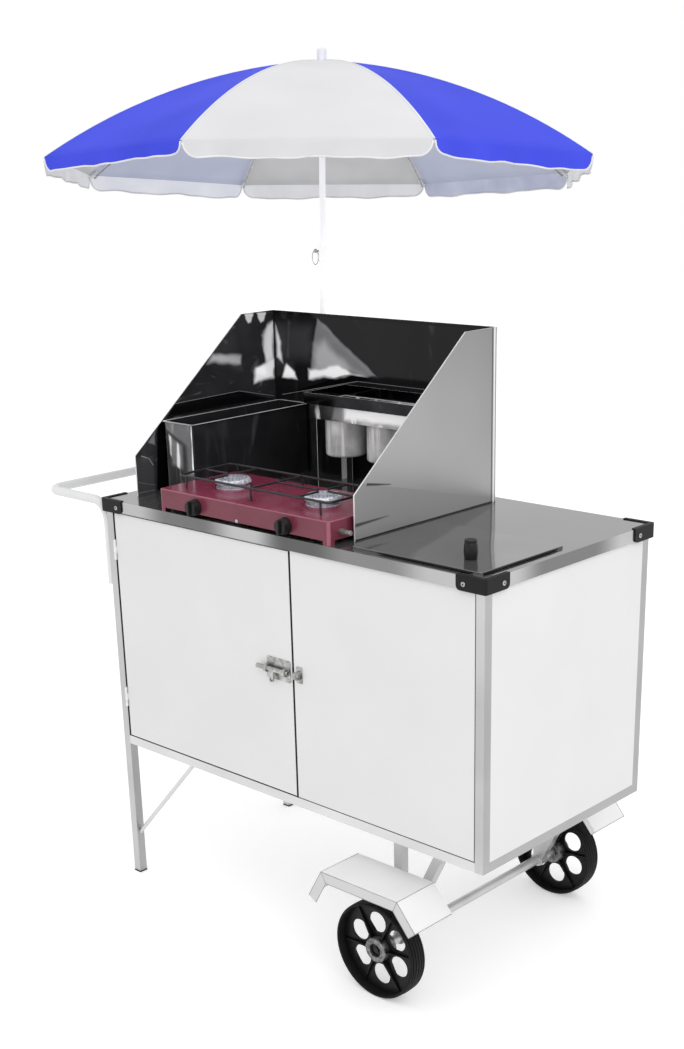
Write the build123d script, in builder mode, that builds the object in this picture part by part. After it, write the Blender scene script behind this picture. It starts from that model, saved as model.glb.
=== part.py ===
"""Street food cart: a sheet-metal cabinet on two legs and two wheels, with a gas stove, a wind
shield, a food warmer, a cold bin and a folding umbrella that leans in a holder at the rear.

Millimetres, +Z up, +Y to the rear, the door faces -Y and the push handle is at -X.
The origin is on the floor under the middle of the overall box.
"""

import os
from math import atan2, cos, degrees, hypot, radians, sin, sqrt, tan

from build123d import *

# Cabinet
cart_length = 1050.0
cart_depth = 515.0
worktop_height = 900.0
floor_clearance = 330.0  # floor to the underside of the bottom rails
tube = 20.0  # square tube of the frame
tube_wall = 1.5
sheet = 1.2  # stainless and painted sheet
panel_depth = 15.0  # folded return behind every cabinet panel
worktop_edge = 25.0  # folded edge of the worktop
worktop_overhang = 5.0
worktop_corner_radius = 4.0
fit_gap = 0.3  # between pieces that pass or close on each other
running_clearance = 0.05  # radial, between a shaft and its bore

# Corner guards
guard_arm = 68.0
guard_thickness = 3.0
guard_drop = 27.0
guard_lip = 12.0
guard_lip_thickness = 2.0

# Legs
foot_wall = 2.0
foot_sole = 3.0
foot_lip = 1.0
foot_plug = 18.0
foot_clearance = 0.1
brace_radius = 4.5
brace_leg_height = 103.0
brace_reach = 209.0

# Push handle
handle_radius = 10.0
handle_wall = 1.5
handle_arm_drop = 11.0  # worktop to the centre line of the bar
handle_foot_drop = 195.0  # worktop to the lower ends of the tube
handle_reach = 212.0
handle_bend = 45.0
handle_corner = 38.0
weld_gap = 0.1

# Door, hinges and bolt
door_width = 537.0
door_seam = 5.0
door_bottom_gap = 3.0
door_top_gap = 29.0  # below the worktop surface
knuckle_radius = 3.0
hinge_pin_radius = 1.5
hinge_leaf = 1.5
hinge_leaf_reach = 13.0
hinge_height = 45.0
hinge_bottom_inset = 93.0  # door end to the middle of its hinge
hinge_top_inset = 82.0
bolt_drop = 250.0  # door top to the bolt
bolt_radius = 5.0
bolt_length = 88.0
bolt_travel = 26.0
bolt_plate_length = 68.0
bolt_plate_height = 46.0
bolt_plate_thickness = 1.5
bolt_strap_width = 7.0
bolt_strap_wall = 3.0
bolt_edge_margin = 4.0  # door edge to the bolt plate
bolt_tail_width = 12.0
bolt_tail_drop = 22.0
bolt_tail_thickness = 4.0
bolt_tail_eye = 3.5
keeper_offset = 12.0  # door edge to the keeper
keeper_width = 17.0
keeper_ear = 9.0

# Wheels, axle and fenders
wheel_radius = 102.0
wheel_width = 42.0
axle_x = 812.0  # from the left end of the cabinet
axle_radius = 10.0
axle_end = 7.0
tyre_thickness = 13.0
tyre_crown = 5.0
rim_thickness = 9.0
web_thickness = 7.0
hub_radius = 25.0
hub_relief = 3.0
wheel_hole_radius = 20.5
wheel_hole_circle = 56.5
wheel_hole_count = 6
wheel_turn = 25.0  # first hole, round the axle
collar_radius = 16.0
collar_width = 2.5
front_wheel_gap = 5.0  # cabinet front to the inner face of the front wheel
rear_wheel_gap = 30.0  # cabinet rear to the inner face of the rear wheel
strut_setback = 30.0  # cabinet front to the front strut
brace_spread = 113.0  # axle to the top of the diagonal strut
sleeve_radius = 15.0
fender_height = 255.0
fender_top = 200.0
fender_flare = 54.0
fender_front_flare = 36.0
fender_drop = 52.0
fender_width = 110.0
fender_sheet = 1.5
fender_lip = 14.0

# Wind shield
shield_left = 41.0  # from the left end of the cabinet
shield_length = 651.0
shield_front = 55.0  # from the front of the cabinet
shield_depth = 431.0
shield_height = 358.0
shield_nose = 89.0  # height of the upright front edge
shield_top = 99.0  # depth of the level top edge
shield_hem = 9.0
shield_hem_thickness = 3.2

# Stove
stove_left = 190.0
stove_length = 490.0
stove_front = -5.0
stove_depth = 215.0
stove_height = 48.0
stove_leg = 16.0
stove_foot_gap = 9.0
stove_corner = 8.0
burner_spacing = 261.0
burner_setback = 105.0
burner_cup_radius = 27.0
burner_flange_radius = 35.0
burner_cup_depth = 44.0
burner_cup_wall = 2.0
burner_rise = 9.0
burner_cap_radius = 37.5
burner_cap_height = 10.0
mixing_tube_radius = 7.0
knob_radius = 17.0
knob_depth = 24.0
knob_level = 24.0  # above the worktop
knob_grip = 7.0
knob_draft = 8.0
grip_draft = 3.0
manifold_radius = 6.0
manifold_setback = 32.0
valve_radius = 9.0
spindle_radius = 3.0
inlet_neck = 8.0
inlet_length = 20.0
inlet_radius = 5.0
inlet_chamfer = 1.0
wire_radius = 2.5
finger_radius = 2.2
grate_length = 432.0
grate_depth = 146.0
grate_rise = 26.0
grate_corner = 10.0
grate_leg_inset = 22.0
grate_eye = 14.0  # burner centre to the tips of the fingers

# Bread trough
trough_left = 60.0
trough_width = 92.0
trough_length = 350.0
trough_height = 156.0
trough_rim = 5.0
trough_wall_gap = 2.0

# Food warmer
warmer_left = 270.0
warmer_length = 370.0
warmer_depth = 130.0
warmer_height = 208.0
warmer_band = 24.0
warmer_apron = 32.0
warmer_inset = 8.0
warmer_wall_gap = 5.0
warmer_floor_drop = 48.0
leg_angle = 18.0
pot_radius = 45.0
pot_depth = 93.0
pot_spacing = 123.0
pot_rim = 6.0
pot_wall = 1.0

# Cold bin and lid
lid_right = 20.0  # from the right end of the cabinet
lid_front = 14.0
lid_length = 314.0
lid_depth = 248.0
lid_rise = 5.0
lid_corner = 10.0
bin_margin = 14.0  # lid edge to the bin wall
bin_depth = 215.0
bin_flange = 9.0
lid_knob_x = 82.0  # from the middle of the lid
lid_knob_y = -60.0
lid_knob_radius = 13.0
lid_knob_height = 36.0
lid_screw_radius = 3.0

# Umbrella
mast_foot_x = 134.0  # from the left end of the cabinet
mast_standoff = 20.5  # cabinet rear to the pole axis at its foot
mast_foot_height = 612.0
mast_lean_left = 2.86
mast_lean_back = 4.86
pole_radius = 8.5
pole_upper_radius = 7.0
pole_joint = 790.0  # along the mast, top of the lower pole
pole_overlap = 370.0
holder_length = 235.0
holder_wall = 2.5
holder_plate_width = 70.0
holder_plate_height = 157.0
holder_plate_thickness = 3.0
holder_web_inset = 59.0  # ends of the tube to the webs
holder_web = 5.0
pin_radius = 2.0
pin_reach = 26.0
pin_ring_radius = 11.0
pin_ring_wire = 1.2
pin_drop = 16.0
pin_turn = 225.0  # round the mast, so that the ring faces out
rim_up = 956.0  # along the mast, height of the rib tips
rim_radius = 616.0
canopy_rise = 226.0
canopy_slope = 5.0  # fall of the cloth and the ribs where they leave the crown
canopy_cloth = 1.2
canopy_top_radius = 12.0
canopy_bands = 6
canopy_turn = -3.7
gore_count = 8
valance_drop = 40.0
valance_corner = 22.0
valance_notch = 5.0
pivot_radius = 13.0
pivot_drop = 10.0
pivot_pin_radius = 1.2
eye_radius = 3.0
ear_gap = 0.3
ear_width = 1.2
clip_length = 9.0
clip_wall = 1.2
crown_radius = 9.4
crown_height = 18.0
rib_width = 3.0
rib_height = 3.0
rib_tip_inset = 5.0
rib_tip_drop = 6.0
rib_tip_radius = 2.5
stretcher_seat = 180.0
stretcher_drop = 12.0
stretcher_height = 2.8
stretcher_eye = 2.7
runner_radius = 9.6
runner_below = 14.0
runner_above = 22.0
finial_radius = 11.0
finial_height = 27.0
finial_round = 5.0
stud_radius = 3.5

# Mast direction and the reach of the canopy, measured from the cabinet's front left corner
mast_slope_x = -tan(radians(mast_lean_left))
mast_slope_y = tan(radians(mast_lean_back))
mast_dir = Vector(mast_slope_x, mast_slope_y, 1).normalized()
mast_foot_y = cart_depth + mast_standoff
gore_angle = 360.0 / gore_count
rib_angles = [canopy_turn + gore_angle * (k + 0.5) for k in range(gore_count)]
rim_reach = rim_radius * max(cos(radians(angle)) for angle in rib_angles)
overall_left = mast_foot_x + mast_dir.X * rim_up - rim_reach
overall_right = cart_length + worktop_overhang + guard_thickness
overall_front = strut_setback - fender_width
overall_rear = mast_foot_y + mast_dir.Y * rim_up + rim_reach

# Cabinet faces
left = -(overall_left + overall_right) / 2
right = left + cart_length
front = -(overall_front + overall_rear) / 2
rear = front + cart_depth
mid_x = (left + right) / 2
mid_y = (front + rear) / 2
rail_top = floor_clearance + tube
under_top = worktop_height - sheet
top_rail = under_top - tube
inner_left = left + tube
inner_right = right - tube
inner_front = front + tube
inner_rear = rear - tube

ALONG_X = (1, 0, 0)
ALONG_Y = (0, 1, 0)

os.makedirs("parts", exist_ok=True)


def save(name, *pieces):
    """Writes one node, as a compound where it holds several separate solids."""
    solids = [solid for piece in pieces for solid in piece.solids()]
    node = solids[0] if len(solids) == 1 else Compound(solids)
    node.label = name
    export_step(node, f"parts/{name}.step")


def square_tube(start, end, x_dir, width=tube, height=tube):
    """A hollow square tube between two points, with flat open ends."""
    axis = Vector(*end) - Vector(*start)
    with BuildPart() as piece:
        with BuildSketch(Plane(origin=start, x_dir=x_dir, z_dir=axis)):
            Rectangle(width, height)
            Rectangle(width - 2 * tube_wall, height - 2 * tube_wall, mode=Mode.SUBTRACT)
        extrude(amount=axis.length)
    return piece.part


def panel_tray(plane, width, height, depth):
    """A sheet panel with folded returns. The plane lies on its outer face and points outwards."""
    with BuildPart() as piece:
        with BuildSketch(plane):
            Rectangle(width, height)
        extrude(amount=-depth)
        with BuildSketch(plane.offset(-sheet)):
            Rectangle(width - 2 * sheet, height - 2 * sheet)
        extrude(amount=sheet - depth, mode=Mode.SUBTRACT)
    return piece.part


def angle_section(x, y, arm, thickness, to_x, to_y):
    """An L section with its outer corner at x, y, drawn in the sketch that is open."""
    Polygon(
        (x, y),
        (x + to_x * arm, y),
        (x + to_x * arm, y + to_y * thickness),
        (x + to_x * thickness, y + to_y * thickness),
        (x + to_x * thickness, y + to_y * arm),
        (x, y + to_y * arm),
        align=None,
    )


# Frame: four posts, of which the left two are the legs, a mullion behind the door seam and rails
door_left = inner_left + 2 * knuckle_radius
door_right = door_left + door_width
seam_x = door_right + door_seam / 2
mullion_y = front + panel_depth + fit_gap + tube / 2
post_y = (front + tube / 2, rear - tube / 2)
posts = []
for y in post_y:
    posts.append(square_tube((left + tube / 2, y, foot_sole), (left + tube / 2, y, under_top), ALONG_X))
    posts.append(
        square_tube((right - tube / 2, y, floor_clearance), (right - tube / 2, y, under_top), ALONG_X)
    )
posts.append(square_tube((seam_x, mullion_y, rail_top), (seam_x, mullion_y, top_rail), ALONG_X))
save("frame_posts", *posts)

rails = []
for z in (floor_clearance + tube / 2, top_rail + tube / 2):
    for y in post_y:
        rails.append(square_tube((inner_left, y, z), (inner_right, y, z), ALONG_Y))
    for x in (left + tube / 2, right - tube / 2):
        rails.append(square_tube((x, inner_front, z), (x, inner_rear, z), ALONG_X))
for y in post_y:
    brace_start = Vector(inner_left, y, brace_leg_height)
    brace_end = Vector(inner_left + brace_reach, y, floor_clearance)
    run = brace_end - brace_start
    overlap = run.normalized() * tube / 2
    with BuildPart() as brace:
        with BuildSketch(Plane(origin=brace_start - overlap, x_dir=ALONG_Y, z_dir=run)):
            Circle(brace_radius)
        extrude(amount=run.length + 2 * overlap.length)
        split(bisect_by=Plane(origin=brace_start, z_dir=ALONG_X), keep=Keep.TOP)
        split(bisect_by=Plane(origin=brace_end, z_dir=(0, 0, -1)), keep=Keep.TOP)
    rails.append(brace.part)
save("frame_rails", *rails)

# Plastic feet: a sole under each leg, with a hollow plug up inside the tube
foot_width = tube + 2 * foot_lip
plug_width = tube - 2 * tube_wall - 2 * foot_clearance
caps = []
for y in post_y:
    with BuildPart() as cap:
        with BuildSketch():
            with Locations((left + tube / 2, y)):
                RectangleRounded(foot_width, foot_width, foot_wall)
        extrude(amount=foot_sole)
        chamfer(cap.faces().sort_by(Axis.Z)[0].edges(), foot_lip / 2)
        with BuildSketch(Plane.XY.offset(foot_sole)):
            with Locations((left + tube / 2, y)):
                Rectangle(plug_width, plug_width)
                Rectangle(plug_width - 2 * foot_wall, plug_width - 2 * foot_wall, mode=Mode.SUBTRACT)
        extrude(amount=foot_plug)
    caps.append(cap.part)
save("foot_caps", *caps)

# Cabinet panels: folded trays set flush between the tubes
panel_height = top_rail - rail_top
panel_z = (top_rail + rail_top) / 2
side_span = inner_rear - inner_front
left_panel = panel_tray(
    Plane(origin=(left, mid_y, panel_z), x_dir=(0, -1, 0), z_dir=(-1, 0, 0)),
    side_span, panel_height, panel_depth,
)
right_panel = panel_tray(
    Plane(origin=(right, mid_y, panel_z), x_dir=ALONG_Y, z_dir=ALONG_X),
    side_span, panel_height, panel_depth,
)
back_panel = panel_tray(
    Plane(origin=(mid_x, rear, panel_z), x_dir=(-1, 0, 0), z_dir=ALONG_Y),
    inner_right - inner_left, panel_height, panel_depth,
)
save("side_panels", left_panel, right_panel, back_panel)

fixed_left = door_right + door_seam
front_panel = panel_tray(
    Plane(origin=((fixed_left + inner_right) / 2, front, panel_z), x_dir=ALONG_X, z_dir=(0, -1, 0)),
    inner_right - fixed_left, panel_height, panel_depth + fit_gap,
)
save("front_panel", front_panel)

bearer_height = tube - sheet
with BuildPart() as floor_panel:
    with BuildSketch(Plane.XY.offset(rail_top - sheet)):
        with Locations((mid_x, mid_y)):
            Rectangle(inner_right - inner_left, inner_rear - inner_front)
    extrude(amount=sheet)
save("floor_panel", floor_panel.part)

# Worktop: one folded sheet with the cold bin's opening
top_length = cart_length + 2 * worktop_overhang
top_depth = cart_depth + 2 * worktop_overhang
lid_x = right - lid_right - lid_length / 2
lid_y = front + lid_front + lid_depth / 2
bin_length = lid_length - 2 * bin_margin
bin_width = lid_depth - 2 * bin_margin
bin_radius = lid_corner + bin_margin
with BuildPart() as worktop:
    with BuildSketch(Plane.XY.offset(worktop_height)):
        with Locations((mid_x, mid_y)):
            RectangleRounded(top_length, top_depth, worktop_corner_radius)
    extrude(amount=-worktop_edge)
    with BuildSketch(Plane.XY.offset(under_top)):
        with Locations((mid_x, mid_y)):
            RectangleRounded(
                top_length - 2 * sheet, top_depth - 2 * sheet, worktop_corner_radius - sheet
            )
    extrude(amount=-worktop_edge, mode=Mode.SUBTRACT)
    with BuildSketch(Plane.XY.offset(worktop_height)):
        with Locations((lid_x, lid_y)):
            RectangleRounded(bin_length, bin_width, bin_radius)
    extrude(amount=-2 * sheet, mode=Mode.SUBTRACT)
save("worktop", worktop.part)

# Black corner guards, lapped over the worktop's edge
guards = []
for x, to_x in ((left - worktop_overhang, 1), (right + worktop_overhang, -1)):
    for y, to_y in ((front - worktop_overhang, 1), (rear + worktop_overhang, -1)):
        corner = (x - to_x * guard_thickness, y - to_y * guard_thickness)
        with BuildPart() as guard:
            with BuildSketch(Plane.XY.offset(worktop_height - guard_drop)):
                angle_section(*corner, guard_arm, guard_thickness, to_x, to_y)
            extrude(amount=guard_drop)
            with BuildSketch(Plane.XY.offset(worktop_height)):
                angle_section(*corner, guard_arm, guard_lip + guard_thickness, to_x, to_y)
            extrude(amount=guard_lip_thickness)
            outer_edge = guard.edges().filter_by(Axis.Z).sort_by_distance((*corner, worktop_height))[0:2]
            fillet(outer_edge, worktop_corner_radius)
        guards.append(guard.part)
save("corner_guards", *guards)

# Push handle: one bent tube, welded to the outer faces of the legs
handle_x = left - handle_radius - weld_gap
handle_arm_height = worktop_height - handle_arm_drop
handle_foot_height = worktop_height - handle_foot_drop
with BuildPart() as push_handle:
    with BuildLine() as handle_path:
        FilletPolyline(
            (handle_x, post_y[0], handle_foot_height),
            (handle_x, post_y[0], handle_arm_height),
            (handle_x - handle_reach, post_y[0], handle_arm_height),
            (handle_x - handle_reach, post_y[1], handle_arm_height),
            (handle_x, post_y[1], handle_arm_height),
            (handle_x, post_y[1], handle_foot_height),
            radius=(handle_bend, handle_corner, handle_corner, handle_bend),
        )
    with BuildSketch(Plane.XY.offset(handle_foot_height)):
        with Locations((handle_x, post_y[0])):
            Circle(handle_radius)
            Circle(handle_radius - handle_wall, mode=Mode.SUBTRACT)
    sweep(path=handle_path.wire())
save("push_handle", push_handle.part)

# Door with its hinges. The pin is carried by the post's leaf and turns in the door's knuckle
hinge_x = inner_left + knuckle_radius
hinge_y = front - knuckle_radius
knuckle = hinge_height / 3
door_bottom = rail_top + door_bottom_gap
door_top = worktop_height - door_top_gap
door_panel = panel_tray(
    Plane(
        origin=((door_left + door_right) / 2, front, (door_bottom + door_top) / 2),
        x_dir=ALONG_X, z_dir=(0, -1, 0),
    ),
    door_width, door_top - door_bottom, panel_depth,
)
save("door_panel", door_panel)


def hinge_leaf_plate(x, low, high, web_spans):
    """A leaf in the door gap, with a web out to the knuckle over each of its own spans."""
    leaf_start = hinge_y + knuckle_radius + fit_gap
    with Locations((x, leaf_start, low)):
        Box(hinge_leaf, hinge_leaf_reach, high - low, align=(Align.CENTER, Align.MIN, Align.MIN))
    for start, end in web_spans:
        with Locations((x, hinge_y, start)):
            Box(
                hinge_leaf, knuckle_radius + hinge_leaf_reach, end - start,
                align=(Align.CENTER, Align.MIN, Align.MIN),
            )


post_leaves = []
door_leaves = []
leaf_offset = knuckle_radius - hinge_leaf / 2
for level in (door_bottom + hinge_bottom_inset, door_top - hinge_top_inset):
    low = level - hinge_height / 2
    high = level + hinge_height / 2
    middle = (low + knuckle + fit_gap / 2, high - knuckle - fit_gap / 2)
    spans = ((low, low + knuckle - fit_gap / 2), (high - knuckle + fit_gap / 2, high))
    with BuildPart() as post_leaf:
        hinge_leaf_plate(hinge_x - leaf_offset, low, high, spans)
        for start, end in spans:
            with BuildSketch(Plane.XY.offset(start)):
                with Locations((hinge_x, hinge_y)):
                    Circle(knuckle_radius)
            extrude(amount=end - start)
        with BuildSketch(Plane.XY.offset(low)):
            with Locations((hinge_x, hinge_y)):
                Circle(hinge_pin_radius)
        extrude(amount=hinge_height)
    post_leaves.append(post_leaf.part)
    with BuildPart() as door_leaf:
        hinge_leaf_plate(hinge_x + leaf_offset, low, high, (middle,))
        with BuildSketch(Plane.XY.offset(middle[0])):
            with Locations((hinge_x, hinge_y)):
                Circle(knuckle_radius)
        extrude(amount=middle[1] - middle[0])
        with BuildSketch(Plane.XY.offset(middle[0])):
            with Locations((hinge_x, hinge_y)):
                Circle(hinge_pin_radius + running_clearance)
        extrude(amount=middle[1] - middle[0], mode=Mode.SUBTRACT)
    door_leaves.append(door_leaf.part)
save("hinge_post_leaves", *post_leaves)
save("hinge_door_leaves", *door_leaves)

# Barrel bolt: a plate with two guide straps on the door, a rod with a padlock tail, and a keeper
bolt_height = door_top - bolt_drop
bolt_y = front - bolt_plate_thickness - bolt_strap_wall - bolt_radius
bolt_axis_plane = Plane(origin=(0, bolt_y, bolt_height), x_dir=(0, -1, 0), z_dir=ALONG_X)
plate_right = door_right - bolt_edge_margin
plate_left = plate_right - bolt_plate_length
strap_lefts = (plate_left + bolt_edge_margin, plate_right - bolt_edge_margin - bolt_strap_width)
strap_outer = bolt_radius + running_clearance + bolt_strap_wall
strap_reach = front - bolt_plate_thickness - bolt_y


def bolt_strap(x, width):
    """A guide round the bolt: a half-round bridge standing on its plate."""
    with BuildSketch(bolt_axis_plane.offset(x)) as bridge:
        Circle(strap_outer)
        Rectangle(strap_reach, 2 * strap_outer, align=(Align.MAX, Align.CENTER))
        Circle(bolt_radius + running_clearance, mode=Mode.SUBTRACT)
    return extrude(bridge.sketch, amount=width)


with BuildPart() as bolt_case:
    with BuildSketch(Plane(origin=(0, front, 0), x_dir=ALONG_X, z_dir=(0, -1, 0))):
        with Locations(((plate_left + plate_right) / 2, bolt_height)):
            RectangleRounded(bolt_plate_length, bolt_plate_height, bolt_strap_wall)
    extrude(amount=bolt_plate_thickness)
    for strap_left in strap_lefts:
        bolt_strap(strap_left, bolt_strap_width)
save("bolt_case", bolt_case.part)

bolt_tip = plate_right
tail_left = strap_lefts[0] + bolt_strap_width + bolt_edge_margin
with BuildPart() as bolt_rod:
    with BuildSketch(bolt_axis_plane.offset(bolt_tip - bolt_length)):
        Circle(bolt_radius)
    extrude(amount=bolt_length)
    chamfer(bolt_rod.faces().sort_by(Axis.X)[-1].edges(), bolt_radius / 5)
    tail_plane = Plane(
        origin=(0, bolt_y + bolt_tail_thickness / 2, 0), x_dir=ALONG_X, z_dir=(0, -1, 0)
    )
    with BuildSketch(tail_plane):
        with Locations((tail_left + bolt_tail_width / 2, bolt_height)):
            SlotCenterToCenter(2 * bolt_tail_drop, bolt_tail_width, rotation=90)
        with Locations((tail_left + bolt_tail_width / 2, bolt_height + bolt_tail_drop)):
            Rectangle(bolt_tail_width, 2 * bolt_tail_drop, mode=Mode.SUBTRACT)
        with Locations((tail_left + bolt_tail_width / 2, bolt_height - bolt_tail_drop)):
            Circle(bolt_tail_eye, mode=Mode.SUBTRACT)
    extrude(amount=bolt_tail_thickness)
save("bolt_rod", bolt_rod.part)

keeper_left = door_right + keeper_offset
with BuildPart() as bolt_keeper:
    with BuildSketch(Plane(origin=(0, front, 0), x_dir=ALONG_X, z_dir=(0, -1, 0))):
        with Locations((keeper_left + keeper_width / 2, bolt_height)):
            RectangleRounded(keeper_width, 2 * (strap_outer + keeper_ear), bolt_strap_wall)
    extrude(amount=bolt_plate_thickness)
    bolt_strap(keeper_left + bolt_edge_margin, keeper_width - 2 * bolt_edge_margin)
save("bolt_keeper", bolt_keeper.part)

# Axle with a collar on each side of each wheel
axle = (left + axle_x, wheel_radius)
front_wheel_y = front - front_wheel_gap - wheel_width / 2
rear_wheel_y = rear + rear_wheel_gap + wheel_width / 2
half_wheel = wheel_width / 2
axle_plane = Plane(origin=(axle[0], 0, axle[1]), x_dir=ALONG_X, z_dir=ALONG_Y)
axle_start = front_wheel_y - half_wheel - axle_end
axle_stop = rear_wheel_y + half_wheel + axle_end
with BuildPart() as axle_shaft:
    with BuildSketch(axle_plane.offset(axle_start)):
        Circle(axle_radius)
    extrude(amount=axle_stop - axle_start)
    chamfer(axle_shaft.edges().filter_by(GeomType.CIRCLE), axle_end / 5)
    for wheel_y in (front_wheel_y, rear_wheel_y):
        for collar_y in (
            wheel_y - half_wheel - fit_gap - collar_width,
            wheel_y + half_wheel + fit_gap,
        ):
            with BuildSketch(axle_plane.offset(collar_y)):
                Circle(collar_radius)
            extrude(amount=collar_width)
save("axle", axle_shaft.part)

# Struts that hang the axle under the cabinet, and the bearers under the floor that carry them
strut_y = (front + strut_setback + tube / 2, rear - tube / 2)
brace_top = axle[0] + brace_spread
struts = []
for y in strut_y:
    with BuildPart() as strut:
        diagonal = Vector(brace_top - axle[0], 0, floor_clearance - axle[1])
        reach = diagonal.length + tube
        for size, mode in ((tube, Mode.ADD), (tube - 2 * tube_wall, Mode.SUBTRACT)):
            for direction in (Vector(0, 0, 1), diagonal):
                with BuildSketch(Plane(origin=(axle[0], y, axle[1]), x_dir=ALONG_Y, z_dir=direction)):
                    Rectangle(size, size)
                extrude(amount=reach, mode=mode)
        split(bisect_by=Plane(origin=(0, 0, floor_clearance), z_dir=(0, 0, -1)), keep=Keep.TOP)
        with BuildSketch(axle_plane.offset(y - tube / 2)):
            Circle(sleeve_radius)
        extrude(amount=tube)
        with BuildSketch(axle_plane.offset(y - tube / 2)):
            Circle(axle_radius + running_clearance)
        extrude(amount=tube, mode=Mode.SUBTRACT)
    struts.append(strut.part)
for x in (axle[0], brace_top):
    bearer_z = floor_clearance + bearer_height / 2
    struts.append(
        square_tube((x, inner_front, bearer_z), (x, inner_rear, bearer_z), ALONG_X, tube, bearer_height)
    )
save("axle_struts", *struts)


def wheel(wheel_y):
    """A cast wheel: rim, dished web with round holes, ribs between them and a long hub."""
    plane = axle_plane.offset(wheel_y)
    rim_outer = wheel_radius - tyre_thickness
    rim_inner = rim_outer - rim_thickness
    rim_half = half_wheel - tyre_crown / 2
    with BuildPart() as spider:
        with BuildSketch(plane.offset(-rim_half)):
            Circle(rim_outer)
            Circle(rim_inner, mode=Mode.SUBTRACT)
        extrude(amount=2 * rim_half)
        with BuildSketch(plane.offset(-web_thickness / 2)):
            Circle(rim_inner + rim_thickness / 2)
            with PolarLocations(wheel_hole_circle, wheel_hole_count, start_angle=wheel_turn):
                Circle(wheel_hole_radius, mode=Mode.SUBTRACT)
        extrude(amount=web_thickness)
        rib_length = rim_inner + rim_thickness / 2 - hub_radius / 2
        with BuildSketch(plane.offset(-rim_half + hub_relief)):
            spoke_turn = wheel_turn + 180 / wheel_hole_count
            with PolarLocations(hub_radius / 2, wheel_hole_count, start_angle=spoke_turn):
                Rectangle(rib_length, web_thickness / 2, align=(Align.MIN, Align.CENTER))
        extrude(amount=2 * (rim_half - hub_relief))
        with BuildSketch(plane.offset(-half_wheel)):
            Circle(hub_radius)
        extrude(amount=wheel_width)
        with BuildSketch(plane.offset(-half_wheel)):
            Circle(axle_radius + running_clearance)
        extrude(amount=wheel_width, mode=Mode.SUBTRACT)
    return spider.part


def tyre(wheel_y):
    """A solid rubber tread with a crowned face, bonded to the rim."""
    rim_outer = wheel_radius - tyre_thickness
    half = half_wheel - tyre_crown / 2
    shoulder = wheel_radius - tyre_crown
    with BuildPart() as tread:
        with BuildSketch(Plane(origin=(axle[0], wheel_y, axle[1]), x_dir=ALONG_Y, z_dir=ALONG_X)):
            with BuildLine():
                Polyline((-half, shoulder), (-half, rim_outer), (half, rim_outer), (half, shoulder))
                ThreePointArc((half, shoulder), (0, wheel_radius), (-half, shoulder))
            make_face()
        revolve(axis=Axis((axle[0], wheel_y, axle[1]), ALONG_Y))
    return tread.part


save("wheel_front", wheel(front_wheel_y))
save("tyre_front", tyre(front_wheel_y))
save("wheel_rear", wheel(rear_wheel_y))
save("tyre_rear", tyre(rear_wheel_y))

# Fenders: a folded top with a flared end each way and a lip down both sides
fender_low = fender_height - fender_drop
fender_crest = (
    (axle[0] - fender_top / 2 - fender_front_flare, fender_low),
    (axle[0] - fender_top / 2, fender_height),
    (axle[0] + fender_top / 2, fender_height),
    (axle[0] + fender_top / 2 + fender_flare, fender_low),
)


def fender_band(depth):
    """The fender's side outline: a band of even depth along the inside of its crest."""
    crest = [Vector(x, z) for x, z in fender_crest]
    runs = [(end - start).normalized() for start, end in zip(crest, crest[1:])]
    inward = [Vector(run.Y, -run.X) for run in runs]
    inner = [crest[0] + inward[0] * depth]
    for bend, before, after in zip(crest[1:], inward, inward[1:]):
        inner.append(bend + (before + after) * (depth / (1 + before.dot(after))))
    inner.append(crest[-1] + inward[-1] * depth)
    with BuildSketch(Plane(origin=(0, 0, 0), x_dir=ALONG_X, z_dir=(0, -1, 0)), mode=Mode.PRIVATE) as band:
        Polygon(*[(point.X, point.Y) for point in crest + inner[::-1]], align=None)
    return band.sketch


fenders = []
for inner_edge, outward in ((strut_y[0] - tube / 2, -1), (rear, 1)):
    outer_edge = inner_edge + outward * fender_width
    low_edge, high_edge = sorted((inner_edge, outer_edge))
    with BuildPart() as fender:
        extrude(fender_band(fender_sheet).moved(Location((0, high_edge, 0))), amount=fender_width)
        for lip_edge in (low_edge + fender_sheet, high_edge):
            extrude(fender_band(fender_lip).moved(Location((0, lip_edge, 0))), amount=fender_sheet)
    fenders.append(fender.part)
save("fenders", *fenders)

# Wind shield: back sheet and two side sheets, with a hem along the free edges
shield_x0 = left + shield_left
shield_x1 = shield_x0 + shield_length
shield_y0 = front + shield_front
shield_y1 = shield_y0 + shield_depth
shield_z1 = worktop_height + shield_height
with BuildPart() as shield_back:
    with BuildSketch(Plane(origin=(0, shield_y1, 0), x_dir=ALONG_X, z_dir=(0, -1, 0))):
        with Locations(((shield_x0 + shield_x1) / 2, worktop_height)):
            Rectangle(shield_length, shield_height, align=(Align.CENTER, Align.MIN))
    extrude(amount=sheet)
    with BuildSketch(Plane(origin=(0, shield_y1, 0), x_dir=ALONG_X, z_dir=ALONG_Y)):
        with Locations(((shield_x0 + shield_x1) / 2, -shield_z1)):
            Rectangle(shield_length, shield_hem, align=(Align.CENTER, Align.MIN))
    extrude(amount=shield_hem_thickness - sheet)
save("shield_back", shield_back.part)

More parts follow.
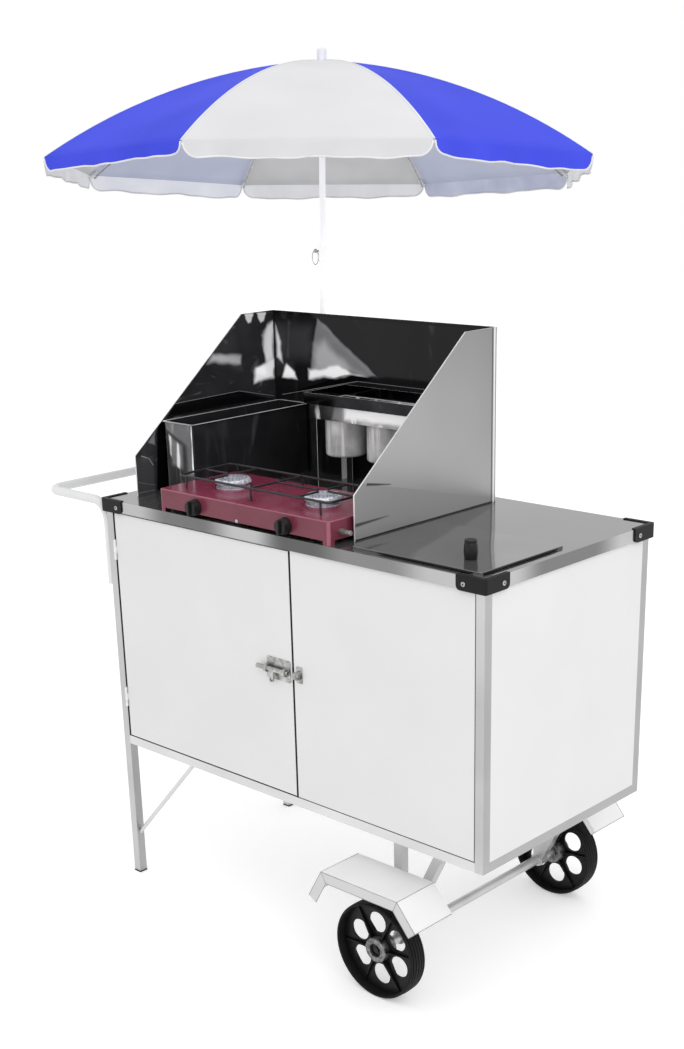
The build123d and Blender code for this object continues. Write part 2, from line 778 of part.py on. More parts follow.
side_outline = (
    (shield_y0, worktop_height),
    (shield_y0, worktop_height + shield_nose),
    (shield_y1 - sheet - shield_top, shield_z1),
    (shield_y1 - sheet, shield_z1),
    (shield_y1 - sheet, worktop_height),
)
hem_outline = (
    (shield_y0 + shield_hem, worktop_height),
    (shield_y0 + shield_hem, worktop_height + shield_nose - shield_hem / 4),
    (shield_y1 - sheet - shield_top + shield_hem / 4, shield_z1 - shield_hem),
    (shield_y1 - sheet, shield_z1 - shield_hem),
    (shield_y1 - sheet, worktop_height),
)
sides = []
for outer_x, inward in ((shield_x0, 1), (shield_x1, -1)):
    side_plane = Plane(origin=(outer_x, 0, 0), x_dir=(0, inward, 0), z_dir=(inward, 0, 0))
    with BuildPart() as side:
        with BuildSketch(side_plane):
            Polygon(*[(inward * y, z) for y, z in side_outline], align=None)
        extrude(amount=sheet)
        with BuildSketch(side_plane):
            Polygon(*[(inward * y, z) for y, z in side_outline], align=None)
            Polygon(*[(inward * y, z) for y, z in hem_outline], align=None, mode=Mode.SUBTRACT)
        extrude(amount=shield_hem_thickness)
    sides.append(side.part)
save("shield_sides", *sides)

# Stove: a folded tray turned over, standing on its four corners
stove_x0 = left + stove_left
stove_x1 = stove_x0 + stove_length
stove_y0 = front + stove_front
stove_x = (stove_x0 + stove_x1) / 2
stove_y = stove_y0 + stove_depth / 2
stove_top = worktop_height + stove_height
gas_level = worktop_height + knob_level
burner_xs = (stove_x - burner_spacing / 2, stove_x + burner_spacing / 2)
burner_y = stove_y0 + burner_setback
manifold_y = stove_y0 + manifold_setback
facing_front = Plane(origin=(0, stove_y0 + stove_depth, 0), x_dir=ALONG_X, z_dir=(0, -1, 0))
facing_right = Plane(origin=(stove_x0, 0, 0), x_dir=ALONG_Y, z_dir=ALONG_X)
with BuildPart() as stove_body:
    with BuildSketch(Plane.XY.offset(worktop_height)):
        with Locations((stove_x, stove_y)):
            RectangleRounded(stove_length, stove_depth, stove_corner)
    extrude(amount=stove_height)
    fillet(stove_body.faces().sort_by(Axis.Z)[-1].edges(), 2 * sheet)
    with BuildSketch(Plane.XY.offset(worktop_height)):
        with Locations((stove_x, stove_y)):
            RectangleRounded(stove_length - 2 * sheet, stove_depth - 2 * sheet, stove_corner - sheet)
    extrude(amount=stove_height - sheet, mode=Mode.SUBTRACT)
    with BuildSketch(facing_front):
        with Locations((stove_x, worktop_height)):
            Rectangle(stove_length - 2 * stove_leg, 2 * stove_foot_gap)
    extrude(amount=stove_depth, mode=Mode.SUBTRACT)
    with BuildSketch(facing_right):
        with Locations((stove_y, worktop_height)):
            Rectangle(stove_depth - 2 * stove_leg, 2 * stove_foot_gap)
    extrude(amount=stove_length, mode=Mode.SUBTRACT)
    with BuildSketch(Plane.XY.offset(stove_top)):
        with Locations(*[(x, burner_y) for x in burner_xs]):
            Circle(burner_cup_radius + fit_gap)
    extrude(amount=-2 * sheet, mode=Mode.SUBTRACT)
    with BuildSketch(Plane(origin=(0, stove_y0, 0), x_dir=ALONG_X, z_dir=(0, -1, 0))):
        with Locations(*[(x, gas_level) for x in burner_xs]):
            Circle(spindle_radius + fit_gap)
    extrude(amount=-2 * sheet, mode=Mode.SUBTRACT)
    with BuildSketch(Plane(origin=(stove_x1, 0, 0), x_dir=ALONG_Y, z_dir=ALONG_X)):
        with Locations((manifold_y, gas_level)):
            Circle(manifold_radius + fit_gap)
    extrude(amount=-2 * sheet, mode=Mode.SUBTRACT)
save("stove_body", stove_body.part)

# Burners: a pressed cup with a flange and a mixing tube, and a loose cap on top
cup_top = stove_top + burner_rise
cup_bottom = cup_top - burner_cup_depth
mixing_start = manifold_y + valve_radius + fit_gap
burners = []
for x in burner_xs:
    axis = Axis((x, burner_y, 0), (0, 0, 1))
    section = Plane(origin=(x, burner_y, 0), x_dir=ALONG_X, z_dir=(0, -1, 0))
    with BuildPart() as cup:
        with BuildSketch(section):
            with BuildLine():
                Polyline(
                    (0, cup_bottom),
                    (burner_cup_radius, cup_bottom),
                    (burner_cup_radius, stove_top),
                    (burner_flange_radius, stove_top),
                    (burner_flange_radius, stove_top + burner_cup_wall),
                    (burner_cup_radius, stove_top + burner_cup_wall),
                    (burner_cup_radius, cup_top),
                    (burner_cup_radius - burner_cup_wall, cup_top),
                    (burner_cup_radius - burner_cup_wall, cup_bottom + burner_cup_wall),
                    (0, cup_bottom + burner_cup_wall),
                    close=True,
                )
            make_face()
        revolve(axis=axis)
        mixing_plane = Plane(origin=(x, mixing_start, gas_level), x_dir=ALONG_X, z_dir=ALONG_Y)
        mixing_length = burner_y - burner_cup_radius + burner_cup_wall - mixing_start
        with BuildSketch(mixing_plane):
            Circle(mixing_tube_radius)
        extrude(amount=mixing_length)
        with BuildSketch(mixing_plane):
            Circle(mixing_tube_radius - burner_cup_wall)
        extrude(amount=mixing_length, mode=Mode.SUBTRACT)
    with BuildPart() as flame_cap:
        shoulder = burner_cap_height / 2
        with BuildSketch(section):
            with BuildLine():
                Polyline(
                    (0, cup_top + burner_cap_height),
                    (0, cup_top),
                    (burner_cap_radius - burner_cup_wall, cup_top),
                    (burner_cap_radius, cup_top + burner_cup_wall),
                    (burner_cap_radius, cup_top + shoulder),
                )
                TangentArc(
                    (burner_cap_radius, cup_top + shoulder),
                    (burner_cap_radius - shoulder, cup_top + burner_cap_height),
                    tangent=(0, 1),
                )
                Line(
                    (burner_cap_radius - shoulder, cup_top + burner_cap_height),
                    (0, cup_top + burner_cap_height),
                )
            make_face()
        revolve(axis=axis)
    burners += [cup.part, flame_cap.part]
save("burners", *burners)

# Gas manifold: a pipe along the front, a valve with a spindle for each knob, and a hose spigot
manifold_plane = Plane(origin=(0, manifold_y, gas_level), x_dir=ALONG_Y, z_dir=ALONG_X)
valve_face = stove_y0 + sheet + fit_gap
knob_face = stove_y0 - fit_gap
spindle_end = knob_face - knob_depth / 2
inlet_start = stove_x1 + inlet_neck
with BuildPart() as gas_manifold:
    with BuildSketch(manifold_plane.offset(burner_xs[0] - 2 * valve_radius)):
        Circle(manifold_radius)
    extrude(amount=inlet_start - burner_xs[0] + 2 * valve_radius)
    with BuildSketch(manifold_plane.offset(inlet_start)):
        Circle(inlet_radius)
    extrude(amount=inlet_length)
    chamfer(gas_manifold.faces().sort_by(Axis.X)[-1].edges(), inlet_chamfer)
    for x in burner_xs:
        valve_plane = Plane(origin=(x, manifold_y + valve_radius, gas_level), x_dir=ALONG_X, z_dir=(0, -1, 0))
        with BuildSketch(valve_plane):
            RegularPolygon(valve_radius, 6)
        extrude(amount=manifold_y + valve_radius - valve_face)
        with BuildSketch(valve_plane):
            Circle(spindle_radius)
        extrude(amount=manifold_y + valve_radius - spindle_end)
save("gas_manifold", gas_manifold.part)


def stove_knob(x):
    """A round knob with a skirt and a raised finger grip, bored for its spindle."""
    plane = Plane(origin=(x, knob_face, gas_level), x_dir=ALONG_X, z_dir=(0, -1, 0))
    with BuildPart() as knob:
        with BuildSketch(plane):
            Circle(knob_radius)
        extrude(amount=knob_depth * 3 / 4, taper=knob_draft)
        with BuildSketch(plane.offset(knob_depth / 2)):
            SlotOverall(2 * knob_radius - knob_grip / 2, knob_grip, rotation=90)
        extrude(amount=knob_depth / 2, taper=grip_draft)
        fillet(knob.faces().sort_by(Axis.Y)[0].edges(), sheet)
        with BuildSketch(plane):
            Circle(spindle_radius + running_clearance)
        extrude(amount=knob_face - spindle_end + fit_gap, mode=Mode.SUBTRACT)
    return knob.part


save("knob_left", stove_knob(burner_xs[0]))
save("knob_right", stove_knob(burner_xs[1]))

# Pan support: one welded wire grate over both burners
grate_level = stove_top + grate_rise
grate_x0 = stove_x - grate_length / 2
grate_x1 = stove_x + grate_length / 2
grate_y0 = burner_y - grate_depth / 2
grate_y1 = burner_y + grate_depth / 2
wires = [((stove_x, grate_y0, grate_level), (stove_x, grate_y1, grate_level))]
for leg_x in (grate_x0 + grate_leg_inset, stove_x, grate_x1 - grate_leg_inset):
    for y in (grate_y0, grate_y1):
        wires.append(((leg_x, y, stove_top), (leg_x, y, grate_level)))
for x, outer_x in zip(burner_xs, (grate_x0, grate_x1)):
    for root_x in (outer_x, stove_x):
        tip_x = x + grate_eye * (1 if root_x > x else -1)
        wires.append(((root_x, burner_y, grate_level), (tip_x, burner_y, grate_level)))
    for root_y in (grate_y0, grate_y1):
        tip_y = burner_y + grate_eye * (1 if root_y > burner_y else -1)
        wires.append(((x, root_y, grate_level), (x, tip_y, grate_level)))
with BuildPart() as pan_support:
    with BuildLine() as grate_path:
        FilletPolyline(
            (grate_x0, grate_y0, grate_level),
            (grate_x1, grate_y0, grate_level),
            (grate_x1, grate_y1, grate_level),
            (grate_x0, grate_y1, grate_level),
            radius=grate_corner,
            close=True,
        )
    grate_wire = grate_path.wire()
    with BuildSketch(Plane(origin=grate_wire @ 0, z_dir=grate_wire % 0)):
        Circle(wire_radius)
    sweep(path=grate_wire)
    for start, end in wires:
        span = Vector(*end) - Vector(*start)
        with BuildSketch(Plane(origin=start, z_dir=span)):
            Circle(finger_radius)
        extrude(amount=span.length)
save("pan_support", pan_support.part)

# Bread trough: an open sheet box with a rolled-out rim, standing at the left of the shield
trough_x = left + trough_left + trough_width / 2
trough_y = shield_y1 - sheet - trough_wall_gap - trough_rim - trough_length / 2
with BuildPart() as bread_trough:
    with BuildSketch(Plane.XY.offset(worktop_height)):
        with Locations((trough_x, trough_y)):
            RectangleRounded(trough_width, trough_length, trough_rim)
    extrude(amount=trough_height)
    with BuildSketch(Plane.XY.offset(worktop_height + trough_height - sheet)):
        with Locations((trough_x, trough_y)):
            RectangleRounded(trough_width + 2 * trough_rim, trough_length + 2 * trough_rim, 2 * trough_rim)
    extrude(amount=sheet)
    with BuildSketch(Plane.XY.offset(worktop_height + sheet)):
        with Locations((trough_x, trough_y)):
            RectangleRounded(trough_width - 2 * sheet, trough_length - 2 * sheet, trough_rim - sheet)
    extrude(amount=trough_height, mode=Mode.SUBTRACT)
save("bread_trough", bread_trough.part)

# Food warmer: a stepped tray on four angle legs, holding three drop-in pots
warmer_x = left + warmer_left + warmer_length / 2
warmer_y = shield_y1 - sheet - warmer_wall_gap - warmer_depth / 2
warmer_top = worktop_height + warmer_height
band_bottom = warmer_top - warmer_band
apron_bottom = band_bottom - warmer_apron
warmer_floor = warmer_top - warmer_floor_drop
apron_length = warmer_length - 2 * warmer_inset
apron_depth = warmer_depth - 2 * warmer_inset
pot_xs = [warmer_x + pot_spacing * k for k in (-1, 0, 1)]


def warmer_layer(low, high, length, depth, mode):
    """One rectangular layer of the tray, added or taken away."""
    with BuildSketch(Plane.XY.offset(low)) as layer:
        with Locations((warmer_x, warmer_y)):
            Rectangle(length, depth)
    extrude(layer.sketch, amount=high - low, mode=mode)


with BuildPart() as warmer_tray:
    warmer_layer(band_bottom, warmer_top, warmer_length, warmer_depth, Mode.ADD)
    warmer_layer(apron_bottom, band_bottom, apron_length, apron_depth, Mode.ADD)
    warmer_layer(
        band_bottom + sheet, warmer_top,
        warmer_length - 2 * sheet, warmer_depth - 2 * sheet, Mode.SUBTRACT,
    )
    for low, high in ((apron_bottom, warmer_floor), (warmer_floor + sheet, band_bottom + sheet)):
        warmer_layer(low, high, apron_length - 2 * sheet, apron_depth - 2 * sheet, Mode.SUBTRACT)
    with BuildSketch(Plane.XY.offset(warmer_floor)):
        with Locations(*[(x, warmer_y) for x in pot_xs]):
            Circle(pot_radius + fit_gap)
    extrude(amount=sheet, mode=Mode.SUBTRACT)
save("warmer_tray", warmer_tray.part)

stand_legs = []
for to_x in (1, -1):
    for to_y in (1, -1):
        leg_corner = (
            warmer_x - to_x * (apron_length / 2 - sheet),
            warmer_y - to_y * (apron_depth / 2 - sheet),
        )
        with BuildPart() as stand_leg:
            with BuildSketch(Plane.XY.offset(worktop_height)):
                angle_section(*leg_corner, leg_angle, sheet, to_x, to_y)
            extrude(amount=warmer_floor - worktop_height)
        stand_legs.append(stand_leg.part)
save("warmer_stand", *stand_legs)

pots = []
pot_top = warmer_floor + sheet + pot_wall
pot_bottom = pot_top - pot_depth
for x in pot_xs:
    with BuildPart() as pot:
        with BuildSketch(Plane(origin=(x, warmer_y, 0), x_dir=ALONG_X, z_dir=(0, -1, 0))):
            with BuildLine():
                inner = pot_radius - pot_wall
                Polyline(
                    (0, pot_bottom + pot_wall),
                    (0, pot_bottom),
                    (pot_radius - pot_rim, pot_bottom),
                )
                RadiusArc((pot_radius - pot_rim, pot_bottom), (pot_radius, pot_bottom + pot_rim), -pot_rim)
                Polyline(
                    (pot_radius, pot_bottom + pot_rim),
                    (pot_radius, pot_top - pot_wall),
                    (pot_radius + pot_rim, pot_top - pot_wall),
                    (pot_radius + pot_rim, pot_top),
                    (inner, pot_top),
                    (inner, pot_bottom + pot_rim),
                )
                RadiusArc(
                    (inner, pot_bottom + pot_rim),
                    (pot_radius - pot_rim, pot_bottom + pot_wall),
                    pot_rim - pot_wall,
                )
                Line((pot_radius - pot_rim, pot_bottom + pot_wall), (0, pot_bottom + pot_wall))
            make_face()
        revolve(axis=Axis((x, warmer_y, 0), (0, 0, 1)))
    pots.append(pot.part)
save("warmer_pots", *pots)

# Cold bin: a deep tub hung by its flange in the worktop, under a lift-off lid
with BuildPart() as cold_bin:
    tub_length = bin_length - 2 * fit_gap
    tub_width = bin_width - 2 * fit_gap
    with BuildSketch(Plane.XY.offset(worktop_height + sheet)):
        with Locations((lid_x, lid_y)):
            RectangleRounded(tub_length, tub_width, bin_radius)
    extrude(amount=-bin_depth)
    with BuildSketch(Plane.XY.offset(worktop_height)):
        with Locations((lid_x, lid_y)):
            RectangleRounded(bin_length + 2 * bin_flange, bin_width + 2 * bin_flange, bin_radius)
    extrude(amount=sheet)
    with BuildSketch(Plane.XY.offset(worktop_height + sheet)):
        with Locations((lid_x, lid_y)):
            RectangleRounded(tub_length - 2 * sheet, tub_width - 2 * sheet, bin_radius - sheet)
    extrude(amount=sheet - bin_depth, mode=Mode.SUBTRACT)
save("cold_bin", cold_bin.part)

lid_top = worktop_height + lid_rise
knob_x = lid_x + lid_knob_x
knob_y = lid_y + lid_knob_y
with BuildPart() as lid:
    with BuildSketch(Plane.XY.offset(worktop_height)):
        with Locations((lid_x, lid_y)):
            RectangleRounded(lid_length, lid_depth, lid_corner)
    extrude(amount=lid_rise)
    fillet(lid.faces().sort_by(Axis.Z)[-1].edges(), sheet)
    with BuildSketch(Plane.XY.offset(worktop_height)):
        with Locations((lid_x, lid_y)):
            RectangleRounded(lid_length - 2 * sheet, lid_depth - 2 * sheet, lid_corner - sheet)
    extrude(amount=lid_rise - sheet, mode=Mode.SUBTRACT)
    with BuildSketch(Plane.XY.offset(lid_top)):
        with Locations((knob_x, knob_y)):
            Circle(lid_screw_radius + running_clearance)
    extrude(amount=-2 * sheet, mode=Mode.SUBTRACT)
save("lid", lid.part)

with BuildPart() as lid_knob:
    knob_neck = lid_knob_radius * 2 / 3
    with BuildSketch(Plane(origin=(knob_x, knob_y, 0), x_dir=ALONG_X, z_dir=(0, -1, 0))):
        with BuildLine():
            Polyline(
                (0, lid_top + lid_knob_height),
                (0, lid_top - 2 * sheet),
                (lid_screw_radius, lid_top - 2 * sheet),
                (lid_screw_radius, lid_top),
                (knob_neck, lid_top),
            )
            ThreePointArc(
                (knob_neck, lid_top),
                (lid_knob_radius, lid_top + lid_knob_height / 2),
                (knob_neck, lid_top + lid_knob_height),
            )
            Line((knob_neck, lid_top + lid_knob_height), (0, lid_top + lid_knob_height))
        make_face()
    revolve(axis=Axis((knob_x, knob_y, 0), (0, 0, 1)))
save("lid_knob", lid_knob.part)

# Umbrella. Heights along the mast are measured from the foot of the pole
mast_foot = Vector(left + mast_foot_x, front + mast_foot_y, mast_foot_height)
mast_plane = Plane(origin=mast_foot, x_dir=ALONG_X, z_dir=mast_dir)
mast_axis = Axis(mast_foot, mast_dir)
canopy_top = rim_up + canopy_rise


def arc_radius(run, fall):
    """Radius of the arc that starts on the canopy's slope and reaches a point further out and down."""
    turn = atan2(fall, run) - radians(canopy_slope)
    return hypot(run, fall) / (2 * sin(turn))


canopy_arc = arc_radius(rim_radius, canopy_rise)


def cloth_height(radius, thickness=0.0):
    """Height of the cloth over a radius, lowered by a thickness measured square to it."""
    depth = sqrt(canopy_arc**2 - (radius + canopy_arc * sin(radians(canopy_slope))) ** 2)
    center = canopy_top - canopy_arc * cos(radians(canopy_slope))
    return center + depth - thickness * canopy_arc / depth


canopy_crest = cloth_height(canopy_top_radius)
stud_top = canopy_crest + finial_height / 2
canopy_under = cloth_height(canopy_top_radius, canopy_cloth)
pivot_up = canopy_top - pivot_drop


def radial_plane(angle):
    """The upright plane through the mast at an angle: x outwards, y up the mast."""
    outward = mast_plane.x_dir * cos(radians(angle)) + mast_plane.y_dir * sin(radians(angle))
    return Plane(origin=mast_foot, x_dir=outward, z_dir=outward.cross(mast_dir))


def mast_ring(low, high, inner, outer):
    """A plain ring round the mast."""
    with BuildSketch(mast_plane.offset(low)) as ring:
        Circle(outer)
        if inner > 0:
            Circle(inner, mode=Mode.SUBTRACT)
    return extrude(ring.sketch, amount=high - low)


# Holder: a tube with a closed foot, stood off the back of the cabinet by two webs on a plate
holder_bore = pole_radius + running_clearance
holder_outer = holder_bore + holder_wall
holder_levels = [mast_foot_height + up for up in (holder_web_inset, holder_length - holder_web_inset)]
holder_x = mast_foot.X + mast_slope_x * holder_length / 2
with BuildPart() as umbrella_holder:
    mast_ring(-holder_wall, holder_length, 0, holder_outer)
    with BuildSketch(Plane(origin=(0, rear, 0), x_dir=(-1, 0, 0), z_dir=ALONG_Y)):
        with Locations((-holder_x, sum(holder_levels) / 2)):
            RectangleRounded(holder_plate_width, holder_plate_height, holder_web)
    extrude(amount=holder_plate_thickness)
    for level in holder_levels:
        web_reach = mast_foot.Y + mast_slope_y * (level - mast_foot_height) - rear
        web_x = mast_foot.X + mast_slope_x * (level - mast_foot_height)
        with BuildSketch(Plane.XY.offset(level - holder_web / 2)):
            with Locations((web_x, rear)):
                Rectangle(2 * holder_outer, web_reach, align=(Align.CENTER, Align.MIN))
        extrude(amount=holder_web)
    with BuildSketch(mast_plane):
        Circle(holder_bore)
    extrude(amount=holder_length, mode=Mode.SUBTRACT)
save("umbrella_holder", umbrella_holder.part)

# Two-part pole: the upper tube slides in the lower one and is held by a pin with a ring
pole_bore = pole_upper_radius + running_clearance
ferrule_radius = pole_radius + sheet
pin_level = pole_joint - pin_drop
pin_plane = radial_plane(pin_turn)
pin_across = Plane(
    origin=mast_foot + mast_dir * pin_level, x_dir=mast_dir, z_dir=pin_plane.x_dir
)
with BuildPart() as pole_lower:
    mast_ring(0, pole_joint, 0, pole_radius)
    mast_ring(pole_joint - 2 * pin_drop, pole_joint, 0, ferrule_radius)
    with BuildSketch(mast_plane.offset(sheet)):
        Circle(pole_bore)
    extrude(amount=pole_joint, mode=Mode.SUBTRACT)
    with BuildSketch(pin_across):
        Circle(pin_radius + running_clearance)
    extrude(amount=pin_reach, mode=Mode.SUBTRACT)
save("pole_lower", pole_lower.part)

with BuildPart() as pole_pin:
    with BuildSketch(pin_across.offset(pole_upper_radius + fit_gap)):
        Circle(pin_radius)
    extrude(amount=pin_reach - pole_upper_radius - fit_gap)
    ring_center = (pin_reach + pin_ring_radius - pin_radius, pin_level)
    with BuildSketch(
        Plane(
            origin=pin_plane.from_local_coords((ring_center[0] + pin_ring_radius, ring_center[1], 0)),
            x_dir=pin_plane.x_dir,
            z_dir=mast_dir,
        )
    ):
        Circle(pin_ring_wire)
    revolve(axis=Axis(pin_plane.from_local_coords((*ring_center, 0)), pin_plane.z_dir))
save("pole_pin", pole_pin.part)

pole_bottom = pole_joint - pole_overlap
with BuildPart() as pole_upper:
    mast_ring(pole_bottom, canopy_under, 0, pole_upper_radius)
    with BuildSketch(mast_plane.offset(pole_bottom)):
        Circle(pole_upper_radius - sheet)
    extrude(amount=canopy_under - pole_bottom - crown_height, mode=Mode.SUBTRACT)
    mast_ring(canopy_under, stud_top, 0, stud_radius)
save("pole_upper", pole_upper.part)


ear_face = rib_width / 2 + ear_gap
slot_start = crown_radius + fit_gap
with BuildPart() as crown:
    mast_ring(canopy_under - crown_height, canopy_under, pole_bore, crown_radius)
    mast_ring(pivot_up - eye_radius, pivot_up + eye_radius, pole_bore, pivot_radius + eye_radius)
    with BuildSketch(mast_plane.offset(pivot_up - 2 * eye_radius)):
        with PolarLocations(slot_start, gore_count, start_angle=rib_angles[0]):
            Rectangle(pivot_radius, 2 * ear_face, align=(Align.MIN, Align.CENTER))
    extrude(amount=4 * eye_radius, mode=Mode.SUBTRACT)
    for angle in rib_angles:
        with BuildSketch(radial_plane(angle).offset(-ear_face - ear_width)):
            with Locations((pivot_radius, pivot_up)):
                Circle(pivot_pin_radius)
        extrude(amount=2 * (ear_face + ear_width))
with BuildPart() as finial:
    with BuildSketch(mast_plane.offset(canopy_crest)):
        Circle(finial_radius)
    extrude(amount=finial_height)
    fillet(finial.edges().filter_by(GeomType.CIRCLE).sort_by(Axis.Z)[-1], finial_round)
    with BuildSketch(mast_plane.offset(canopy_crest)):
        Circle(stud_radius + running_clearance)
    extrude(amount=stud_top + fit_gap - canopy_crest, mode=Mode.SUBTRACT)
save("crown", crown.part, finial.part)

# Ribs: a curved strip from the crown to the rim, with a clip where its stretcher hinges
rib_end = rim_radius - rib_tip_inset
rib_tip = (rib_end, cloth_height(rib_end) - rib_tip_drop)
rib_run = rib_tip[0] - pivot_radius
rib_fall = pivot_up - rib_tip[1]
rib_arc = arc_radius(rib_run, rib_fall)
rib_lead = rib_arc * sin(radians(canopy_slope))
rib_center = (pivot_radius - rib_lead, pivot_up - rib_arc * cos(radians(canopy_slope)))


def rib_point(run, lift=0.0):
    """A point of the rib's arc, which leaves the crown on the canopy's slope and curves down."""
    scale = 1 + lift / rib_arc
    across = run + rib_lead
    return (rib_center[0] + across * scale, rib_center[1] + sqrt(rib_arc**2 - across**2) * scale)


seat = rib_point(stretcher_seat)
seat_slope = degrees(-atan2(seat[0] - rib_center[0], seat[1] - rib_center[1]))
hinge_point = (seat[0], seat[1] - stretcher_drop)
hinge_fall = pivot_up - hinge_point[1]
runner_up = pivot_up - 2 * hinge_fall


def umbrella_rib(angle):
    """One rib: the strip with its eye and tip, and the clip that carries the stretcher's pin."""
    plane = radial_plane(angle)
    with BuildPart() as rib:
        with BuildSketch(plane.offset(-rib_width / 2)):
            with BuildLine():
                upper, lower = [
                    ThreePointArc(*[rib_point(run, lift) for run in (0, rib_run / 2, rib_run)])
                    for lift in (rib_height / 2, -rib_height / 2)
                ]
                Line(upper @ 0, lower @ 0)
                Line(upper @ 1, lower @ 1)
            make_face()
            with Locations(rib_tip):
                Circle(rib_tip_radius)
            with Locations(rib_point(0)):
                Circle(eye_radius)
                Circle(pivot_pin_radius + running_clearance, mode=Mode.SUBTRACT)
        extrude(amount=rib_width)
        clip_half = ear_face + ear_width / 2
        with BuildSketch(plane.offset(-clip_half)):
            with Locations(seat):
                Rectangle(clip_length, rib_height + 2 * clip_wall, rotation=seat_slope)
        extrude(amount=2 * clip_half)
        for ear_start in (ear_face, -ear_face - ear_width):
            with BuildSketch(plane.offset(ear_start)):
                SlotCenterPoint((seat[0], seat[1] - stretcher_drop / 2), hinge_point, 2 * eye_radius)
            extrude(amount=ear_width)
        with BuildSketch(plane.offset(-ear_face - ear_width)):
            with Locations(hinge_point):
                Circle(pivot_pin_radius)
        extrude(amount=2 * (ear_face + ear_width))
    return rib.part


def umbrella_stretcher(angle):
    """A strip from its eye on the rib's pin down to the runner, where its end eye is free."""
    plane = radial_plane(angle)
    foot = (pivot_radius, runner_up)
    length = hypot(hinge_point[0] - foot[0], hinge_point[1] - foot[1])
    slope = degrees(atan2(hinge_point[1] - foot[1], hinge_point[0] - foot[0]))
    with BuildPart() as stretcher:
        with BuildSketch(plane.offset(-rib_width / 2)):
            with Locations(foot):
                Rectangle(length, stretcher_height, rotation=slope, align=(Align.MIN, Align.CENTER))
            for place, radius in ((hinge_point, eye_radius), (foot, stretcher_eye)):
                with Locations(place):
                    Circle(radius)
                    Circle(pivot_pin_radius + running_clearance, mode=Mode.SUBTRACT)
        extrude(amount=rib_width)
    return stretcher.part


for number, angle in enumerate(rib_angles, start=1):
    save(f"rib_{number}", umbrella_rib(angle))
    save(f"stretcher_{number}", umbrella_stretcher(angle))

with BuildPart() as runner:
    mast_ring(runner_up - runner_below, runner_up + runner_above, pole_bore, runner_radius)
    round_edges = runner.faces().filter_by(GeomType.PLANE).edges().filter_by(GeomType.CIRCLE)
    chamfer(round_edges.group_by(SortBy.RADIUS)[-1], sheet / 2)
save("runner", runner.part)

# Canopy: eight gores that are straight from rib to rib and round from crown to rim, with a
# valance flap below the rim of each
band_radii = [
    canopy_top_radius + (rim_radius - canopy_top_radius) * k / (canopy_bands - 1)
    for k in range(canopy_bands)
]


def dome(thickness):
    """The eight-sided dome, lowered by a thickness measured square to the cloth."""
    layers = []
    for radius in band_radii:
        with BuildSketch(mast_plane.offset(cloth_height(radius, thickness)), mode=Mode.PRIVATE) as layer:
            RegularPolygon(radius, gore_count, rotation=rib_angles[0])
        layers.append(layer.sketch)
    return layers


apothem = rim_radius * cos(radians(gore_angle / 2))
flap_width = 2 * rim_radius * sin(radians(gore_angle / 2)) - 2 * valance_notch
with BuildPart() as canopy:
    loft(dome(0))
    loft(dome(canopy_cloth), mode=Mode.SUBTRACT)
    with BuildSketch(mast_plane.offset(canopy_under - canopy_cloth)):
        Circle(stud_radius + fit_gap)
    extrude(amount=4 * canopy_cloth, mode=Mode.SUBTRACT)
    for angle in rib_angles:
        gore_plane = radial_plane(angle + gore_angle / 2)
        flap_plane = Plane(
            origin=gore_plane.from_local_coords((apothem, rim_up, 0)),
            x_dir=-gore_plane.z_dir,
            z_dir=gore_plane.x_dir,
        )
        with BuildSketch(flap_plane) as flap:
            with Locations((0, canopy_cloth)):
                Rectangle(
                    flap_width, valance_drop + canopy_cloth, align=(Align.CENTER, Align.MAX)
                )
            fillet(flap.vertices().group_by(Axis.Y)[0], valance_corner)
        extrude(amount=-canopy_cloth)
save("canopy", canopy.part)
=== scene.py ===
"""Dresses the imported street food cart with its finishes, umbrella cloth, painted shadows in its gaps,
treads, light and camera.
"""

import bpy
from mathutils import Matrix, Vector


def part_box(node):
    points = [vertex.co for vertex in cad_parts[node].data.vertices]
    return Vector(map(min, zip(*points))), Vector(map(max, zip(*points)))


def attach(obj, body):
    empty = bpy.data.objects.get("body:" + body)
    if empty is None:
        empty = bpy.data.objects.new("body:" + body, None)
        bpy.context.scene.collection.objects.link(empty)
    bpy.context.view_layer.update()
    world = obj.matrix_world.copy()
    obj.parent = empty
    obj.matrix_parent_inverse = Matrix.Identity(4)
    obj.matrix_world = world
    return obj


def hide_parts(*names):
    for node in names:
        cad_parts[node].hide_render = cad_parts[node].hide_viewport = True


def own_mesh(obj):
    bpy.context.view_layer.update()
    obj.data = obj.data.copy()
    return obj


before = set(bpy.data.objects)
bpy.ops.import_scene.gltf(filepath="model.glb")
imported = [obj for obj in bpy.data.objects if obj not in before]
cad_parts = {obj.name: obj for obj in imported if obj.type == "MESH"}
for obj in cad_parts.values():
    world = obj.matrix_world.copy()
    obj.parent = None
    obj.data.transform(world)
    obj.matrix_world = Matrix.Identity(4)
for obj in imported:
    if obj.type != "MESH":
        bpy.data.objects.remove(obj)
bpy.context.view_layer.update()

import logging
import math
from dataclasses import dataclass, field
from enum import Enum
from typing import Sequence

import bmesh
import bpy
import numpy as np
from mathutils import Matrix, Vector

Tree = bpy.types.NodeTree
Socket = bpy.types.NodeSocket
Piece = bpy.types.Object
Point = tuple[float, float, float]
Rows = tuple[tuple[float, ...], ...]

